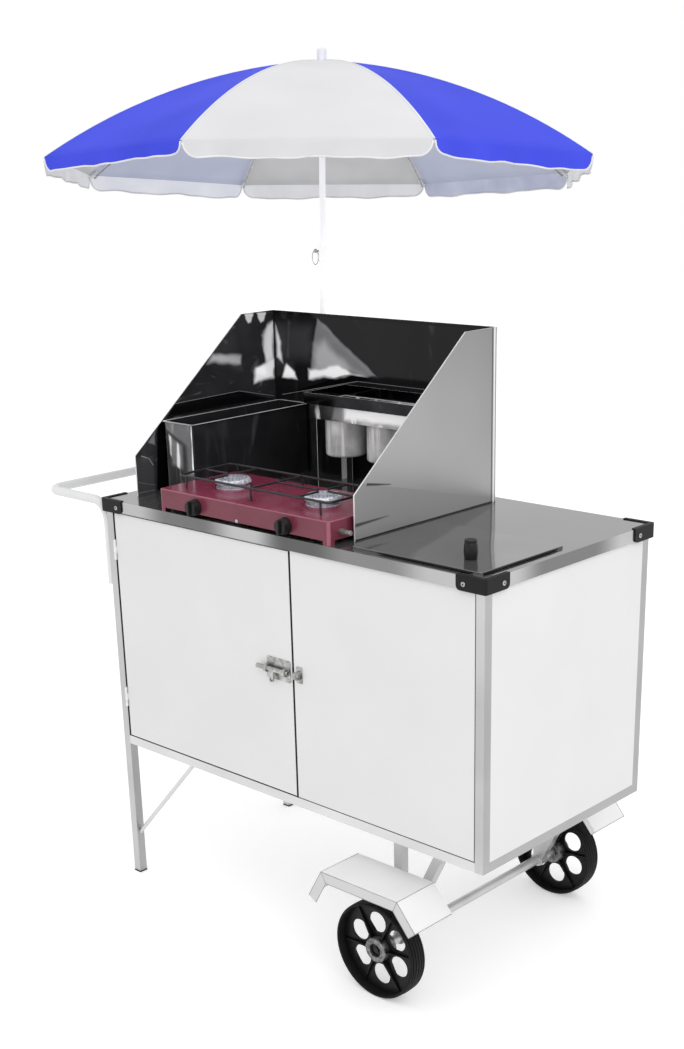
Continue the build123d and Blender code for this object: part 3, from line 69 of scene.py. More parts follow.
LOG = logging.getLogger("food_cart")
MM = 0.001
CORNER = np.array(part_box("frame_posts")[0]) * (1, 1, 0)  # floor under the cabinet's front left edge
UP = np.array((0.0, 0.0, 1.0))
REARWARD = np.array((0.0, 1.0, 0.0))
OBLIQUE = np.array((0.3, 0.5, 0.8))  # a way that no edge of the cart runs
GLINT_WAVE_MM = 70.0  # size of the waves in a reflection's sides
BUCKLE_WAVE_MM = 150.0  # size of the slow waves of thin sheet
PATCH_METALLIC = 0.15  # a drawn reflection is lit like paint, so that its colour holds
SHINE_COLOUR = "#F4F4F4"
NOISE_SPAN = {"From Min": 0.3, "From Max": 0.7}  # the usual range of a noise texture
RAMP_WANDER = 0.3  # how far a ramp of colour wanders, as a share of its length


def place(*mm: float) -> np.ndarray:
    """A point given in millimetres from the cabinet's front left foot, in metres in the model's frame."""
    return CORNER + np.array(mm, float) * MM


def box(node: str) -> np.ndarray:
    """The low and the high corner of a CAD node, in metres."""
    return np.array(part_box(node))


def per_mm(size: float) -> float:
    """The texture scale that gives features of a size in millimetres on Object coordinates in metres."""
    return 1 / (size * MM)


def unit(vectors: np.ndarray) -> np.ndarray:
    """A vector, or one a row, brought to length 1."""
    return vectors / np.linalg.norm(vectors, axis=-1, keepdims=True)


def round_steps(count: int) -> np.ndarray:
    """Angles of a full turn in equal steps."""
    return np.linspace(0, 2 * np.pi, count, endpoint=False)


def spokes(angle: np.ndarray) -> np.ndarray:
    """Unit vectors in a plane at the given angles."""
    return np.stack([np.cos(angle), np.sin(angle)], -1)


def linear(code: str, alpha: float = 1.0) -> tuple[float, float, float, float]:
    """Turns an sRGB hex colour to linear.

    Args:
        code: six hex digits after a hash.
        alpha: opacity to carry along.

    Returns:
        Red, green, blue and alpha.
    """
    srgb = np.array([int(code[start:start + 2], 16) for start in (1, 3, 5)]) / 255
    channels = np.where(srgb <= 0.04045, srgb / 12.92, ((srgb + 0.055) / 1.055) ** 2.4)
    return (*(float(value) for value in channels), alpha)


def add_node(
    tree: Tree, kind: str, settings: dict | None = None, links: dict | None = None, out: str | int = 0
) -> Socket:
    """Adds a shader node with its settings and links.

    Args:
        tree: the node tree to add to.
        kind: the node's type name after its common start.
        settings: attributes in small letters, and socket values by socket name or number.
        links: the sources of sockets, by socket name or number.
        out: the output that is wanted, by name or number.

    Returns:
        The new node's output.
    """
    node = tree.nodes.new("ShaderNode" + kind)
    for name, value in (settings or {}).items():
        if isinstance(name, str) and name.islower():
            setattr(node, name, value)
        else:
            node.inputs[name].default_value = value
    for name, source in (links or {}).items():
        tree.links.new(source, node.inputs[name])
    return node.outputs[out]


def gathered(tree: Tree, operation: str, values: Sequence) -> Socket:
    """Takes several values together, two at a time.

    Args:
        tree: the node tree.
        operation: MINIMUM or MAXIMUM.
        values: the value sockets.

    Returns:
        A value socket.
    """
    total = values[0]
    for value in values[1:]:
        total = add_node(tree, "Math", {"operation": operation}, {0: total, 1: value})
    return total


class Grain(Enum):
    """How a pattern lies on the part: even, or drawn out along an axis."""

    EVEN = (1.0, 1.0, 1.0)
    ALONG_X = (0.02, 1.0, 1.0)
    ALONG_Y = (1.0, 0.02, 1.0)
    ALONG_Z = (1.0, 1.0, 0.02)


class Plane(Enum):
    """The two axes that span a sheet: one that looks to the front, or one that looks along the cart."""

    FACING = (0, 2)
    SIDEWAYS = (1, 2)


@dataclass(frozen=True)
class Glint:
    """A reflection on a mirror sheet: a convex patch with soft, slightly wavy sides.

    Attributes:
        colour: sRGB colour of the patch.
        corners: its corners in millimetres in the sheet's plane, anticlockwise.
        plane: the sheet's plane.
        soft_mm: width of its soft side.
        wave_mm: how far its sides wander.
        shine: strength of the light that it throws back, for the brightest ones.
    """

    colour: str
    corners: Rows
    plane: Plane
    soft_mm: float = 8.0
    wave_mm: float = 14.0
    shine: float = 0.0

    @classmethod
    def rows(cls, plane: Plane, *rows: tuple) -> tuple["Glint", ...]:
        """Glints in one plane, each row a colour, its corners and then what differs from the defaults."""
        return tuple(cls(colour, corners, plane, *rest) for colour, corners, *rest in rows)

    def mask(self, tree: Tree, where: Socket) -> Socket:
        """A socket that is 1 inside the patch: the least of the distances from its sides, softened.

        Args:
            tree: the material's tree.
            where: the coordinates.

        Returns:
            A value socket.
        """
        corners = np.array(self.corners, float)
        sides = np.roll(corners, -1, axis=0) - corners
        distances = []
        for corner, normal in zip(corners, unit(np.stack([-sides[:, 1], sides[:, 0]], -1))):
            foot, way = np.zeros((2, 3))
            foot[list(self.plane.value)] = corner
            way[list(self.plane.value)] = normal
            offset = float(place(*foot) @ way)
            along = {"operation": "DOT_PRODUCT", 1: tuple(way)}
            dot = add_node(tree, "VectorMath", along, {0: where}, "Value")
            distances.append(add_node(tree, "Math", {"operation": "SUBTRACT", 1: offset}, {0: dot}))
        least = gathered(tree, "MINIMUM", distances)
        noise = {"Scale": per_mm(GLINT_WAVE_MM), "Detail": 2.0}
        wave = add_node(tree, "TexNoise", noise, {"Vector": where}, "Fac")
        bend = {"operation": "MULTIPLY_ADD", 1: self.wave_mm * MM}
        bent = add_node(tree, "Math", bend, {0: wave, 2: least})
        start = self.wave_mm / 2 * MM
        step = {"interpolation_type": "SMOOTHSTEP", "From Min": start, "From Max": start + self.soft_mm * MM}
        return add_node(tree, "MapRange", step, {"Value": bent})


@dataclass(frozen=True)
class Finish:
    """A real material's surface, as one node material.

    Attributes:
        name: common name of the material and how its surface was made.
        colour: main sRGB colour.
        shade: the colour that the cloudy variation runs to.
        metallic: 1 for bare metal.
        roughness: lowest roughness.
        spread: how much the roughness varies.
        cloud_mm: size of the cloudy variation.
        grain_mm: width of the fine grain.
        grain: the grain's direction.
        relief_mm: height of the grain.
        buckle_mm: height of the slow waves of thin sheet.
        coat: weight of a clear gloss over the colour.
        gloss: level of the clear reflection on what isn't metal.
        glow: strength of the light that comes through thin cloth, or that a white tube throws back.
        glints: reflections that lie on the sheet.
    """

    name: str
    colour: str
    shade: str
    metallic: float = 0.0
    roughness: float = 0.4
    spread: float = 0.08
    cloud_mm: float = 160.0
    grain_mm: float = 2.0
    grain: Grain = Grain.EVEN
    relief_mm: float = 0.02
    buckle_mm: float = 0.0
    coat: float = 0.0
    gloss: float = 0.5
    glow: float = 0.0
    glints: tuple[Glint, ...] = ()

    def material(self) -> bpy.types.Material:
        """Returns the node material, made once."""
        made = bpy.data.materials.get(self.name)
        if made is None:
            made = bpy.data.materials.new(self.name)
            made.use_nodes = True
            self.dress(made.node_tree)
        return made

    def dress(self, tree: Tree) -> bpy.types.Node:
        """Links cloudy colour, grained roughness and relief to the shader.

        Args:
            tree: the material's tree, with its default nodes.

        Returns:
            The shader node.
        """
        shader = tree.nodes["Principled BSDF"]
        shader.inputs["Metallic"].default_value = self.metallic
        shader.inputs["Coat Weight"].default_value = self.coat
        shader.inputs["Specular IOR Level"].default_value = self.gloss
        shader.inputs["Emission Strength"].default_value = self.glow
        shader.inputs["Emission Color"].default_value = linear(self.colour)
        where = add_node(tree, "TexCoord", out="Object")
        colour = self.tint(tree, where)
        patches = self.patches(tree, where)
        for mask, patch in patches:
            colour = add_node(tree, "Mix", {"data_type": "RGBA", 7: linear(patch)}, {0: mask, 6: colour}, 2)
        tree.links.new(colour, shader.inputs["Base Color"])
        masks = [mask for mask, _ in patches]
        if masks:
            ends = {"To Min": self.metallic, "To Max": PATCH_METALLIC}
            bare = add_node(tree, "MapRange", ends, {"Value": gathered(tree, "MAXIMUM", masks)})
            tree.links.new(bare, shader.inputs["Metallic"])
        self.shine(tree, shader, masks)
        drawn = add_node(tree, "Mapping", {"Scale": self.grain.value}, {"Vector": where})
        fine = {"Scale": per_mm(self.grain_mm), "Detail": 3.0}
        grain = add_node(tree, "TexNoise", fine, {"Vector": drawn}, "Fac")
        ends = {"To Min": self.roughness, "To Max": self.roughness + self.spread}
        tree.links.new(add_node(tree, "MapRange", ends, {"Value": grain}), shader.inputs["Roughness"])
        heights = {"Height": grain}
        if self.buckle_mm:
            slow = {"Scale": per_mm(BUCKLE_WAVE_MM), "Detail": 0.0}
            wave = add_node(tree, "TexNoise", slow, {"Vector": where}, "Fac")
            deep = {"Strength": 1.0, "Distance": self.buckle_mm * MM}
            heights["Normal"] = add_node(tree, "Bump", deep, {"Height": wave})
        bump = add_node(tree, "Bump", {"Strength": 0.5, "Distance": self.relief_mm * MM}, heights)
        tree.links.new(bump, shader.inputs["Normal"])
        return shader

    def shine(self, tree: Tree, shader: bpy.types.Node, masks: list) -> None:
        """Lights the brightest glints: the strength is the greatest of mask times shine.

        Args:
            tree: the material's tree.
            shader: its shader node.
            masks: the patches' masks, the glints' last.
        """
        lit = [
            add_node(tree, "Math", {"operation": "MULTIPLY", 1: glint.shine}, {0: mask})
            for mask, glint in zip(masks[::-1], self.glints[::-1]) if glint.shine
        ]
        if lit:
            shader.inputs["Emission Color"].default_value = linear(SHINE_COLOUR)
            tree.links.new(gathered(tree, "MAXIMUM", lit), shader.inputs["Emission Strength"])

    def patches(self, tree: Tree, where: Socket) -> list[tuple]:
        """Pairs of a mask socket and an sRGB colour that lie over the ground as soft light, in order."""
        return [(glint.mask(tree, where), glint.colour) for glint in self.glints]

    def tint(self, tree: Tree, where: Socket) -> Socket:
        """The colour socket: colour and shade mixed by their share.

        Args:
            tree: the material's tree.
            where: the coordinates.

        Returns:
            A colour socket.
        """
        ends = {"data_type": "RGBA", 6: linear(self.colour), 7: linear(self.shade)}
        return add_node(tree, "Mix", ends, {0: self.share(tree, where)}, 2)

    def share(self, tree: Tree, where: Socket) -> Socket:
        """The shade's share: soft noise over its usual range.

        Args:
            tree: the material's tree.
            where: the coordinates.

        Returns:
            A value socket.
        """
        noise = {"Scale": per_mm(self.cloud_mm), "Detail": 2.0}
        cloud = add_node(tree, "TexNoise", noise, {"Vector": where}, "Fac")
        return add_node(tree, "MapRange", NOISE_SPAN, {"Value": cloud})


@dataclass(frozen=True)
class Sloped(Finish):
    """A finish whose colour runs from one end of the piece to the other.

    Attributes:
        start: point in millimetres where the colour is pure.
        end: point in millimetres where the shade is pure.
    """

    start: Point = (0.0, 0.0, 0.0)
    end: Point = (0.0, 0.0, 1.0)

    def share(self, tree: Tree, where: Socket) -> Socket:
        """The shade's share: a ramp along the line from start to end, softened by noise.

        Args:
            tree: the material's tree.
            where: the coordinates.

        Returns:
            A value socket.
        """
        run = place(*self.end) - place(*self.start)
        along = run / float(run @ run)
        offset = float(place(*self.start) @ along)
        dot = add_node(tree, "VectorMath", {"operation": "DOT_PRODUCT", 1: tuple(along)}, {0: where}, "Value")
        noise = {"Scale": per_mm(self.cloud_mm), "Detail": 1.0}
        cloud = add_node(tree, "TexNoise", noise, {"Vector": where}, "Fac")
        shift = {"operation": "MULTIPLY_ADD", 1: RAMP_WANDER, 2: -RAMP_WANDER / 2 - offset}
        wander = add_node(tree, "Math", shift, {0: cloud})
        return add_node(tree, "Math", {"operation": "ADD", "use_clamp": True}, {0: dot, 1: wander})


@dataclass(frozen=True)
class Streaked(Finish):
    """A mirror sheet whose dark face carries bright wandering streaks of painted reflection.

    Attributes:
        streak: sRGB colour of the streaks.
        streak_mm: width of a streak.
        stretch: how the streaks are drawn out.
        amount: lowest noise value that shows as a streak.
        soft: rise of the noise from a streak's edge to its full brightness.
    """

    streak: str = "#8A8A8C"
    streak_mm: float = 60.0
    stretch: Point = (1.0, 1.0, 0.3)
    amount: float = 0.58
    soft: float = 0.14

    def patches(self, tree: Tree, where: Socket) -> list[tuple]:
        """The streaks under the glints."""
        return [(self.streaks(tree, where), self.streak), *super().patches(tree, where)]

    def streaks(self, tree: Tree, where: Socket) -> Socket:
        """A socket that is 1 where stretched, bent noise is high.

        Args:
            tree: the material's tree.
            where: the coordinates.

        Returns:
            A value socket.
        """
        drawn = add_node(tree, "Mapping", {"Scale": self.stretch}, {"Vector": where})
        bent = {"Scale": per_mm(self.streak_mm), "Detail": 2.5, "Distortion": 1.4}
        noise = add_node(tree, "TexNoise", bent, {"Vector": drawn}, "Fac")
        full = self.amount + self.soft
        step = {"interpolation_type": "SMOOTHSTEP", "From Min": self.amount, "From Max": full}
        return add_node(tree, "MapRange", step, {"Value": noise})


@dataclass(frozen=True)
class Cloth(Finish):
    """Coated polyester: a plain weave on the sheet's own UV map, with soft slack between the ribs.

    A wave texture of scale s has a band every pi / (10 s) of its coordinates.

    Attributes:
        roughness, cloud_mm, grain_mm, relief_mm, gloss: as for any finish, here those of matt cloth.
        ridge_mm: spacing of the weave's ridges as drawn. Real threads, 0.3 mm apart, are too fine to show.
        ridge_relief_mm: height of a ridge as drawn.
    """

    roughness: float = 0.7
    cloud_mm: float = 240.0
    grain_mm: float = 60.0
    relief_mm: float = 0.5
    gloss: float = 0.15
    ridge_mm: float = 15.08
    ridge_relief_mm: float = 0.1

    def dress(self, tree: Tree) -> bpy.types.Node:
        """Adds the weave's crossing ridges to the relief.

        Args:
            tree: the material's tree, with its default nodes.

        Returns:
            The shader node.
        """
        shader = super().dress(tree)
        uv = add_node(tree, "TexCoord", out="UV")
        scale = per_mm(self.ridge_mm) * math.pi / 10
        ridges = [
            add_node(tree, "TexWave", {"bands_direction": way, "Scale": scale}, {"Vector": uv}, "Fac")
            for way in ("X", "Y")
        ]
        below = shader.inputs["Normal"].links[0].from_socket
        bump = add_node(
            tree, "Bump", {"Strength": 0.25, "Distance": self.ridge_relief_mm * MM},
            {"Height": gathered(tree, "MAXIMUM", ridges), "Normal": below},
        )
        tree.links.new(bump, shader.inputs["Normal"])
        return shader


# Powder-coated steel: white, satin, with a fine orange peel. The fenders' copy is lighter, as painted light,
# and the lips' copy darker, as painted shade
POWDER_COAT, LIT_FENDER_COAT, SHADED_LIP_COAT = (
    Finish(f"powder_coated_{part}", colour, shade, roughness=rough, grain_mm=3.0, relief_mm=0.03)
    for part, colour, shade, rough in (
        ("steel", "#E4E4E4", "#E1E1E1", 0.42), ("fender", "#F6F6F6", "#EEEEEE", 0.38),
        ("fender_lip_painted_shade", "#D6D6D6", "#CECECE", 0.38),
    )
)
# Thin grey lines along the fenders' folds: painted shade
FOLD_SHADE_LINE = Finish("fold_line_painted_shade", "#8E8E8E", "#A8A8A8", 0.3, 0.4, 0.1, 30.0, 2.0)
# White enamelled tube: smoother and glossier than the panels, pure white, and glowing as painted light
GLOWING_TUBE_ENAMEL = Finish("enamelled_tube_painted_glow", "#FFFFFF", "#FAFAFA", roughness=0.3, grain_mm=4.0, coat=0.2, glow=0.28)
HANDLE_ENAMEL = Finish("enamelled_handle", "#E9E9E9", "#E0E0E0", roughness=0.34, grain_mm=4.0, coat=0.2)
# Drawn aluminium tube: pale grey, lines along the draw, soft gloss. The side copy is darker, as painted shade
# on the faces that look left and right; the rails' copy is a little lighter
DRAWN_ALLOY, SHADED_ALLOY_SIDE, DRAWN_ALLOY_RAIL = (
    Finish(f"drawn_aluminium_{part}", colour, shade, 1.0, rough, 0.12, 220.0, 1.6, grain, 0.01)
    for part, colour, shade, rough, grain in (
        ("tube", "#CACACA", "#B6B6B6", 0.34, Grain.ALONG_Z),
        ("side", "#B6B6B6", "#A8A8A8", 0.4, Grain.ALONG_Z),
        ("rail", "#DCDCDC", "#CCCCCC", 0.34, Grain.ALONG_X),
    )
)
# Mirror-polished stainless sheet: grey because it shows the room, faint rolling lines, slow waves
WORKTOP_STEEL = Finish(
    "polished_stainless_worktop", "#727272", "#7D7D7D", 0.7, 0.08, 0.06, 420.0, 1.2, Grain.ALONG_X, 0.004, 0.3
)
LID_STEEL = Finish(
    "polished_stainless_lid", "#747474", "#808080", 0.7, 0.06, 0.05, 420.0, 1.2, Grain.ALONG_X, 0.004, 2.4
)
# The folded sides: a brighter copy of the sheet with darker soft bands as glints: painted reflection
WORKTOP_FOLD = Finish(
    "polished_stainless_fold", "#BCBCBC", "#B0B0B0", 1.0, 0.22, 0.08, 170.0, 1.2, Grain.ALONG_X, 0.004,
    glints=tuple(
        Glint(colour, ((left, 700), (right, 700), (right, 1100), (left, 1100)), plane, 100.0, 0.0)
        for colour, left, right, plane in (
            ("#6C6C6C", 110, 420, Plane.FACING), ("#808080", 470, 930, Plane.FACING),
            ("#545454", 470, 730, Plane.FACING), ("#6E6E6E", 70, 420, Plane.SIDEWAYS),
        )
    ),
)
# The shield's outside runs lighter at its front foot to darker at its rear top and carries glints: painted
# reflection; the near-black line along its foot is drawn the same way
SHIELD_OUTSIDE = Sloped(
    "satin_stainless_shield", "#B8B8B8", "#8E8E8E", 1.0, 0.32, 0.1, 200.0, 1.2, Grain.ALONG_Z, 0.006, 0.2,
    start=(692, 60, 940), end=(692, 486, 1258),
    glints=Glint.rows(
        Plane.SIDEWAYS,
        ("#929292", ((40, 895), (495, 895), (495, 906), (40, 1020)), 3.0, 3.0),
        ("#3C3C3C", ((54, 925), (152, 930), (154, 935), (54, 936)), 4.0, 4.0),
        ("#303030", ((86, 1000), (160, 990), (160, 995), (90, 1009)), 3.0, 3.0),
        ("#141414", ((40, 898), (495, 898), (495, 903.5), (40, 903.5)), 1.0, 0.0),
        ("#4A4A4A", ((470, 890), (474, 890), (474, 1262), (470, 1262)), 1.0, 0.0),
        ("#EDEDED", ((476, 890), (482, 890), (482, 1262), (476, 1262)), 1.0, 0.0),
    ),
)
# Inside the shield: a near-black, hardly metallic ground with streaks and glints, the brightest glowing; all
# painted reflection
SHIELD_BACK_INSIDE = Streaked(
    "mirror_stainless_back", "#202022", "#1A1A1C", 0.15, 0.07, 0.05, 120.0, 1.5, Grain.ALONG_Z, 0.004,
    gloss=0.14, streak="#3A3A3C", streak_mm=70.0, stretch=(1.0, 1.0, 0.2), amount=0.62,
    glints=Glint.rows(
        Plane.FACING,
        ("#464648", ((44, 1128), (176, 1136), (186, 1246), (44, 1250)), 40.0),
        ("#6A6A6C", ((76, 1150), (96, 1146), (104, 1236), (88, 1244)), 18.0),
        ("#8E8E90", ((152, 1108), (369, 1131), (183, 1253))),
        ("#B6B6B8", ((150, 1110), (340, 1130), (206, 1216), (170, 1190)), 30.0, 40.0, 0.1),
        ("#F0F0F1", ((150, 1106), (330, 1129), (250, 1152), (150, 1134)), 12.0, 30.0, 0.4),
        ("#D9D9DA", ((46, 1150), (70, 1140), (70, 1190), (50, 1226)), 12.0, 24.0, 0.2),
        ("#F2F2F3", ((56, 1101), (122, 1102), (112, 1126), (82, 1140)), 9.0, 24.0, 0.35),
        ("#161617", ((44, 1250), (690, 1250), (690, 1256), (44, 1256)), 1.5, 2.0),
        ("#0D0D0D", ((63, 1066), (304, 1115), (368, 1128), (266, 1130)), 2.0, 0.0),
        ("#A4A4A6", ((63, 1066), (304, 1116), (304, 1118), (63, 1068)), 0.8, 0.0),
        ("#8A8A8C", ((304, 1116), (640, 1115), (640, 1117), (304, 1118)), 0.8, 0.0),
    ),
)
SHIELD_SIDE_INSIDE = Streaked(
    "mirror_stainless_side", "#3E3E40", "#303032", 0.15, 0.07, 0.05, 120.0, 1.5, Grain.ALONG_Z, 0.004,
    gloss=0.2, streak="#68686B", streak_mm=60.0, stretch=(1.0, 0.6, 1.6), amount=0.6,
    glints=Glint.rows(
        Plane.SIDEWAYS,
        ("#E4E4E5", ((452, 1136), (488, 1116), (490, 1236), (462, 1234), (440, 1206)), 14.0, 40.0, 0.22),
        ("#F2F2F3", ((414, 1096), (488, 1098), (488, 1154), (420, 1138)), 12.0, 34.0, 0.4),
        ("#B9B9BB", ((276, 1160), (378, 1148), (380, 1166), (290, 1186)), 14.0, 34.0, 0.08),
        ("#E0E0E1", ((393, 1258), (406, 1234), (416, 1236), (424, 1258)), 6.0, 20.0, 0.2),
        ("#E0E0E1", ((430, 1258), (445, 1230), (458, 1234), (466, 1258)), 6.0, 20.0, 0.2),
        ("#4E4E51", ((51, 881), (108, 881), (112, 985), (54, 990)), 10.0),
        ("#0B0B0B", ((110, 903), (143, 899), (155, 1050), (122, 1055)), 2.0, 0.0),
        ("#8C8C8F", ((88, 1011), (115, 1000), (117, 1040)), 5.0, 4.0),
        ("#A8A8AA", ((71, 984.5), (92, 976), (93, 978.5), (71.5, 987.5)), 1.0, 0.0),
        ("#A8A8AA", ((91.5, 976.5), (103, 959.5), (105.5, 961), (93.5, 978.5)), 1.0, 0.0),
        ("#7E7E80", ((52, 930.8), (107, 914.6), (107, 916.8), (52, 933)), 1.0, 0.0),
        ("#8A8A8C", ((50, 905.6), (107, 904.2), (107, 906.2), (50, 907.8)), 1.0, 0.0),
        ("#111112", ((146, 1056), (480, 1056), (372, 1088), (174, 1085)), 2.0, 0.0),
        ("#98989A", ((174, 1084), (370, 1087.2), (370, 1089.2), (174, 1086)), 0.8, 0.0),
        ("#98989A", ((370, 1087.2), (480, 1061.6), (480, 1063.6), (370, 1089.2)), 0.8, 0.0),
    ),
)
# Pale, hardly metallic and glowing a little: painted highlights on folded edges, rims and the warmer legs'
# right faces
HIGHLIGHT_EDGE = Finish("stainless_edge_painted_highlight", "#E4E4E4", "#CECECE", 0.25, 0.3, 0.1, 40.0, 1.0, glow=0.12)
# The bread trough: a dark, hardly metallic ground with streaks, and a lighter front with glowing glints:
# painted reflection
TROUGH_STEEL = Streaked(
    "mirror_stainless_trough", "#323234", "#242426", 0.2, 0.08, 0.05, 90.0, 1.5, Grain.ALONG_Z, 0.004,
    gloss=0.25, streak="#48484A", streak_mm=80.0, stretch=(1.0, 1.0, 0.25), amount=0.6,
)
TROUGH_FRONT = Streaked(
    "mirror_stainless_trough_front", "#4A4A4B", "#6A6A6C", 0.6, 0.1, 0.05, 60.0, 1.5, Grain.ALONG_Z, 0.004,
    streak="#8A8A8B", streak_mm=30.0, stretch=(1.0, 1.0, 0.15), amount=0.56,
    glints=Glint.rows(
        Plane.FACING,
        ("#8E8E90", ((72, 956), (120, 948), (124, 1012), (66, 1040)), 14.0),
        ("#DCDCDD", ((70, 982), (82, 970), (86, 1026), (67, 1038)), 6.0, 20.0, 0.2),
        ("#E8E8E9", ((92, 958), (106, 952), (110, 1012), (94, 1024)), 6.0, 20.0, 0.25),
        ("#ECECEC", ((144, 950), (152, 950), (152, 1056), (146, 1056)), 5.0, 14.0, 0.3),
    ),
)
# The warmer's apron: streaks and glints of painted reflection
WARMER_STEEL = Streaked(
    "polished_stainless_warmer", "#A8A8A8", "#6A6A6A", 1.0, 0.12, 0.06, 60.0, 1.0, Grain.ALONG_X, 0.004,
    streak="#F0F0F0", streak_mm=40.0, stretch=(1.0, 1.0, 0.4), amount=0.56,
    glints=Glint.rows(
        Plane.FACING,
        ("#F1F1F1", ((378, 1054), (660, 1058), (660, 1090), (382, 1088)), 12.0, 14.0, 0.15),
        ("#8E8E8F", ((340, 1050), (372, 1050), (382, 1090), (352, 1090)), 12.0),
    ),
)
# The pots: hardly metallic, with bright upright streaks of painted reflection
POT_STEEL = Streaked(
    "stainless_pot_painted_reflections", "#EAEAEA", "#BABABA", 0.15, 0.22, 0.1, 40.0, 0.8, Grain.EVEN, 0.004,
    streak="#F6F6F6", streak_mm=22.0, stretch=(1.0, 1.0, 0.06), amount=0.52,
)
# The warmer's upper band: a dark ground with bright streaks, painted reflection
DARK_BAND = Streaked(
    "mirror_stainless_band", "#1F1F20", "#343436", 1.0, 0.08, 0.05, 60.0, 1.0, Grain.ALONG_X, 0.004,
    streak="#8F8F90", streak_mm=60.0, stretch=(0.6, 1.0, 1.0), amount=0.64,
)
# The warmer's legs: dark, as painted shade
LEG_STEEL = Finish("mirror_stainless_leg", "#2E2E30", "#1E1E20", 0.3, 0.15, 0.1, 60.0, gloss=0.2)
# Zinc plate on pressed and turned steel: bright, slightly cloudy. The hinges' copy is whiter and less
# metallic, as painted highlight
LIT_HINGE_ZINC = Finish("zinc_hinge_painted_highlight", "#F0F0EF", "#D8D8D6", 0.4, 0.3, 0.1, 9.0, 0.8)
ZINC = Finish("zinc_plated_steel", "#C4C4C2", "#9C9C9A", 1.0, 0.28, 0.14, 9.0, 0.8, Grain.EVEN, 0.01)
BOLT_ZINC = Finish("zinc_plated_bolt", "#C8C8C6", "#8C8C8A", 1.0, 0.3, 0.14, 12.0, 0.8, Grain.EVEN, 0.02)
PLATED_PIPE = Finish("zinc_plated_pipe", "#A3A19F", "#7C7A78", 0.7, 0.3, 0.12, 8.0, 1.0)
AXLE_STEEL = Finish(
    "turned_steel_axle", "#DCDCDC", "#C4C4C4", 0.7, 0.3, 0.14, 120.0, 1.2, Grain.ALONG_Y, 0.01
)
# Injection-moulded black plastics and rubbers, from fine grain to gloss
GUARD_PLASTIC, KNOB_PLASTIC, WHEEL_PLASTIC, TYRE_RUBBER, SHADOW_BLACK, FOOT_RUBBER = (
    Finish(name, colour, shade, 0.0, rough, 0.08, cloud, grain, relief_mm=relief, gloss=gloss)
    for name, colour, shade, rough, cloud, grain, relief, gloss in (
        ("moulded_abs_guard", "#101010", "#181818", 0.5, 160.0, 1.2, 0.04, 0.22),
        ("moulded_bakelite_knob", "#101010", "#181818", 0.3, 160.0, 1.5, 0.01, 0.3),
        ("moulded_nylon_wheel", "#0C0C0C", "#131313", 0.36, 160.0, 2.0, 0.02, 0.22),
        ("solid_rubber_tyre", "#0D0D0D", "#161616", 0.58, 30.0, 1.5, 0.08, 0.2),
        # Black for the painted shadow in the door's gaps, under the lid and in the rivets' holes
        ("black_painted_shadow", "#0E0E0E", "#151515", 0.6, 20.0, 1.0, 0.05, 0.2),
        ("rubber_foot", "#161616", "#1E1E1E", 0.6, 10.0, 1.0, 0.02, 0.25),
    )
)
WHITE_PLASTIC = Finish("moulded_white_nylon", "#F2F2F2", "#EAEAEA", 0.0, 0.35, 0.08, 12.0, 1.5)
# Stove enamel: deep maroon under gloss, uneven from the firing. The top's copy is lighter, as painted light,
# and the bends' copy paler, as painted highlights
ENAMEL = {"relief_mm": 0.05, "coat": 0.1, "gloss": 0.35}
STOVE_ENAMEL, LIT_STOVE_TOP_ENAMEL, STOVE_BEND_HIGHLIGHT = (
    Finish(f"fired_enamel_{part}", colour, shade, 0.0, rough, 0.1, cloud, 4.0, **ENAMEL)
    for part, colour, shade, rough, cloud in (
        ("maroon", "#6C2A3A", "#763243", 0.24, 70.0), ("maroon_top_painted_light", "#923852", "#863248", 0.2, 90.0),
        ("maroon_bend_painted_highlight", "#A25E6E", "#935263", 0.24, 50.0),
    )
)
# Castings: sand-cast burners, pale and bluish, and grey zinc hubs
CAST_ALLOY = Finish(
    "cast_aluminium_burner", "#F6F7FA", "#A2A9BE", 0.25, 0.25, 0.15, 6.0, 2.0, Grain.EVEN, 0.3
)
HUB_ALLOY = Finish("cast_zinc_hub", "#969696", "#4C4C4C", 0.8, 0.38, 0.15, 8.0, 1.2, Grain.EVEN, 0.06)
# Black enamel of the pan support's wires, also used for the dark discs of painted shade in the burners' holes
WIRE_AND_HOLE_SHADE_ENAMEL = Finish("enamelled_wire_and_hole_shade", "#17171A", "#252528", roughness=0.3, cloud_mm=12.0, grain_mm=1.5)
# Coated polyester: matt, even colour, a weave that shows close up
BLUE_CLOTH = Cloth("coated_polyester_blue", "#3E4BDA", "#4853E6")
WHITE_CLOTH = Cloth("coated_polyester_white", "#E0E0E2", "#D8D8DA")
# The white valance takes a slightly darker copy of the white cloth, as painted shade
WHITE_VALANCE = Cloth(
    "coated_polyester_hem", "#DADADC", "#D2D2D4", cloud_mm=120.0, grain_mm=40.0, relief_mm=0.7
)
# The same cloth from below, where the light comes through it, and the valance, which the light reaches better
BLUE_LINING = Cloth("polyester_lining_blue", "#BEC2D4", "#B0B5CC", roughness=0.8, cloud_mm=150.0, glow=0.14)
WHITE_LINING = Cloth("polyester_lining_white", "#C8C8C9", "#BABABB", roughness=0.8, cloud_mm=150.0, glow=0.14)
BLUE_VALANCE_LINING, WHITE_VALANCE_LINING, LIT_VALANCE_LINING = (
    Cloth(f"polyester_valance_{part}", colour, shade, 0.0, 0.8, 0.08, 60.0, 22.0, relief_mm=1.2, glow=glow)
    for part, colour, shade, glow in (
        ("blue", "#CDD0DE", "#B4B8D0", 0.2), ("white", "#E6E6E7", "#D8D8D9", 0.26),
        ("lit", "#E6E7EB", "#DADCE2", 0.28),
    )
)
PIPING = Cloth("bias_tape_white", "#EDEDEE", "#E2E2E4", 0.0, 0.7, 0.08, 60.0, 5.0, relief_mm=0.02, gloss=0.5)


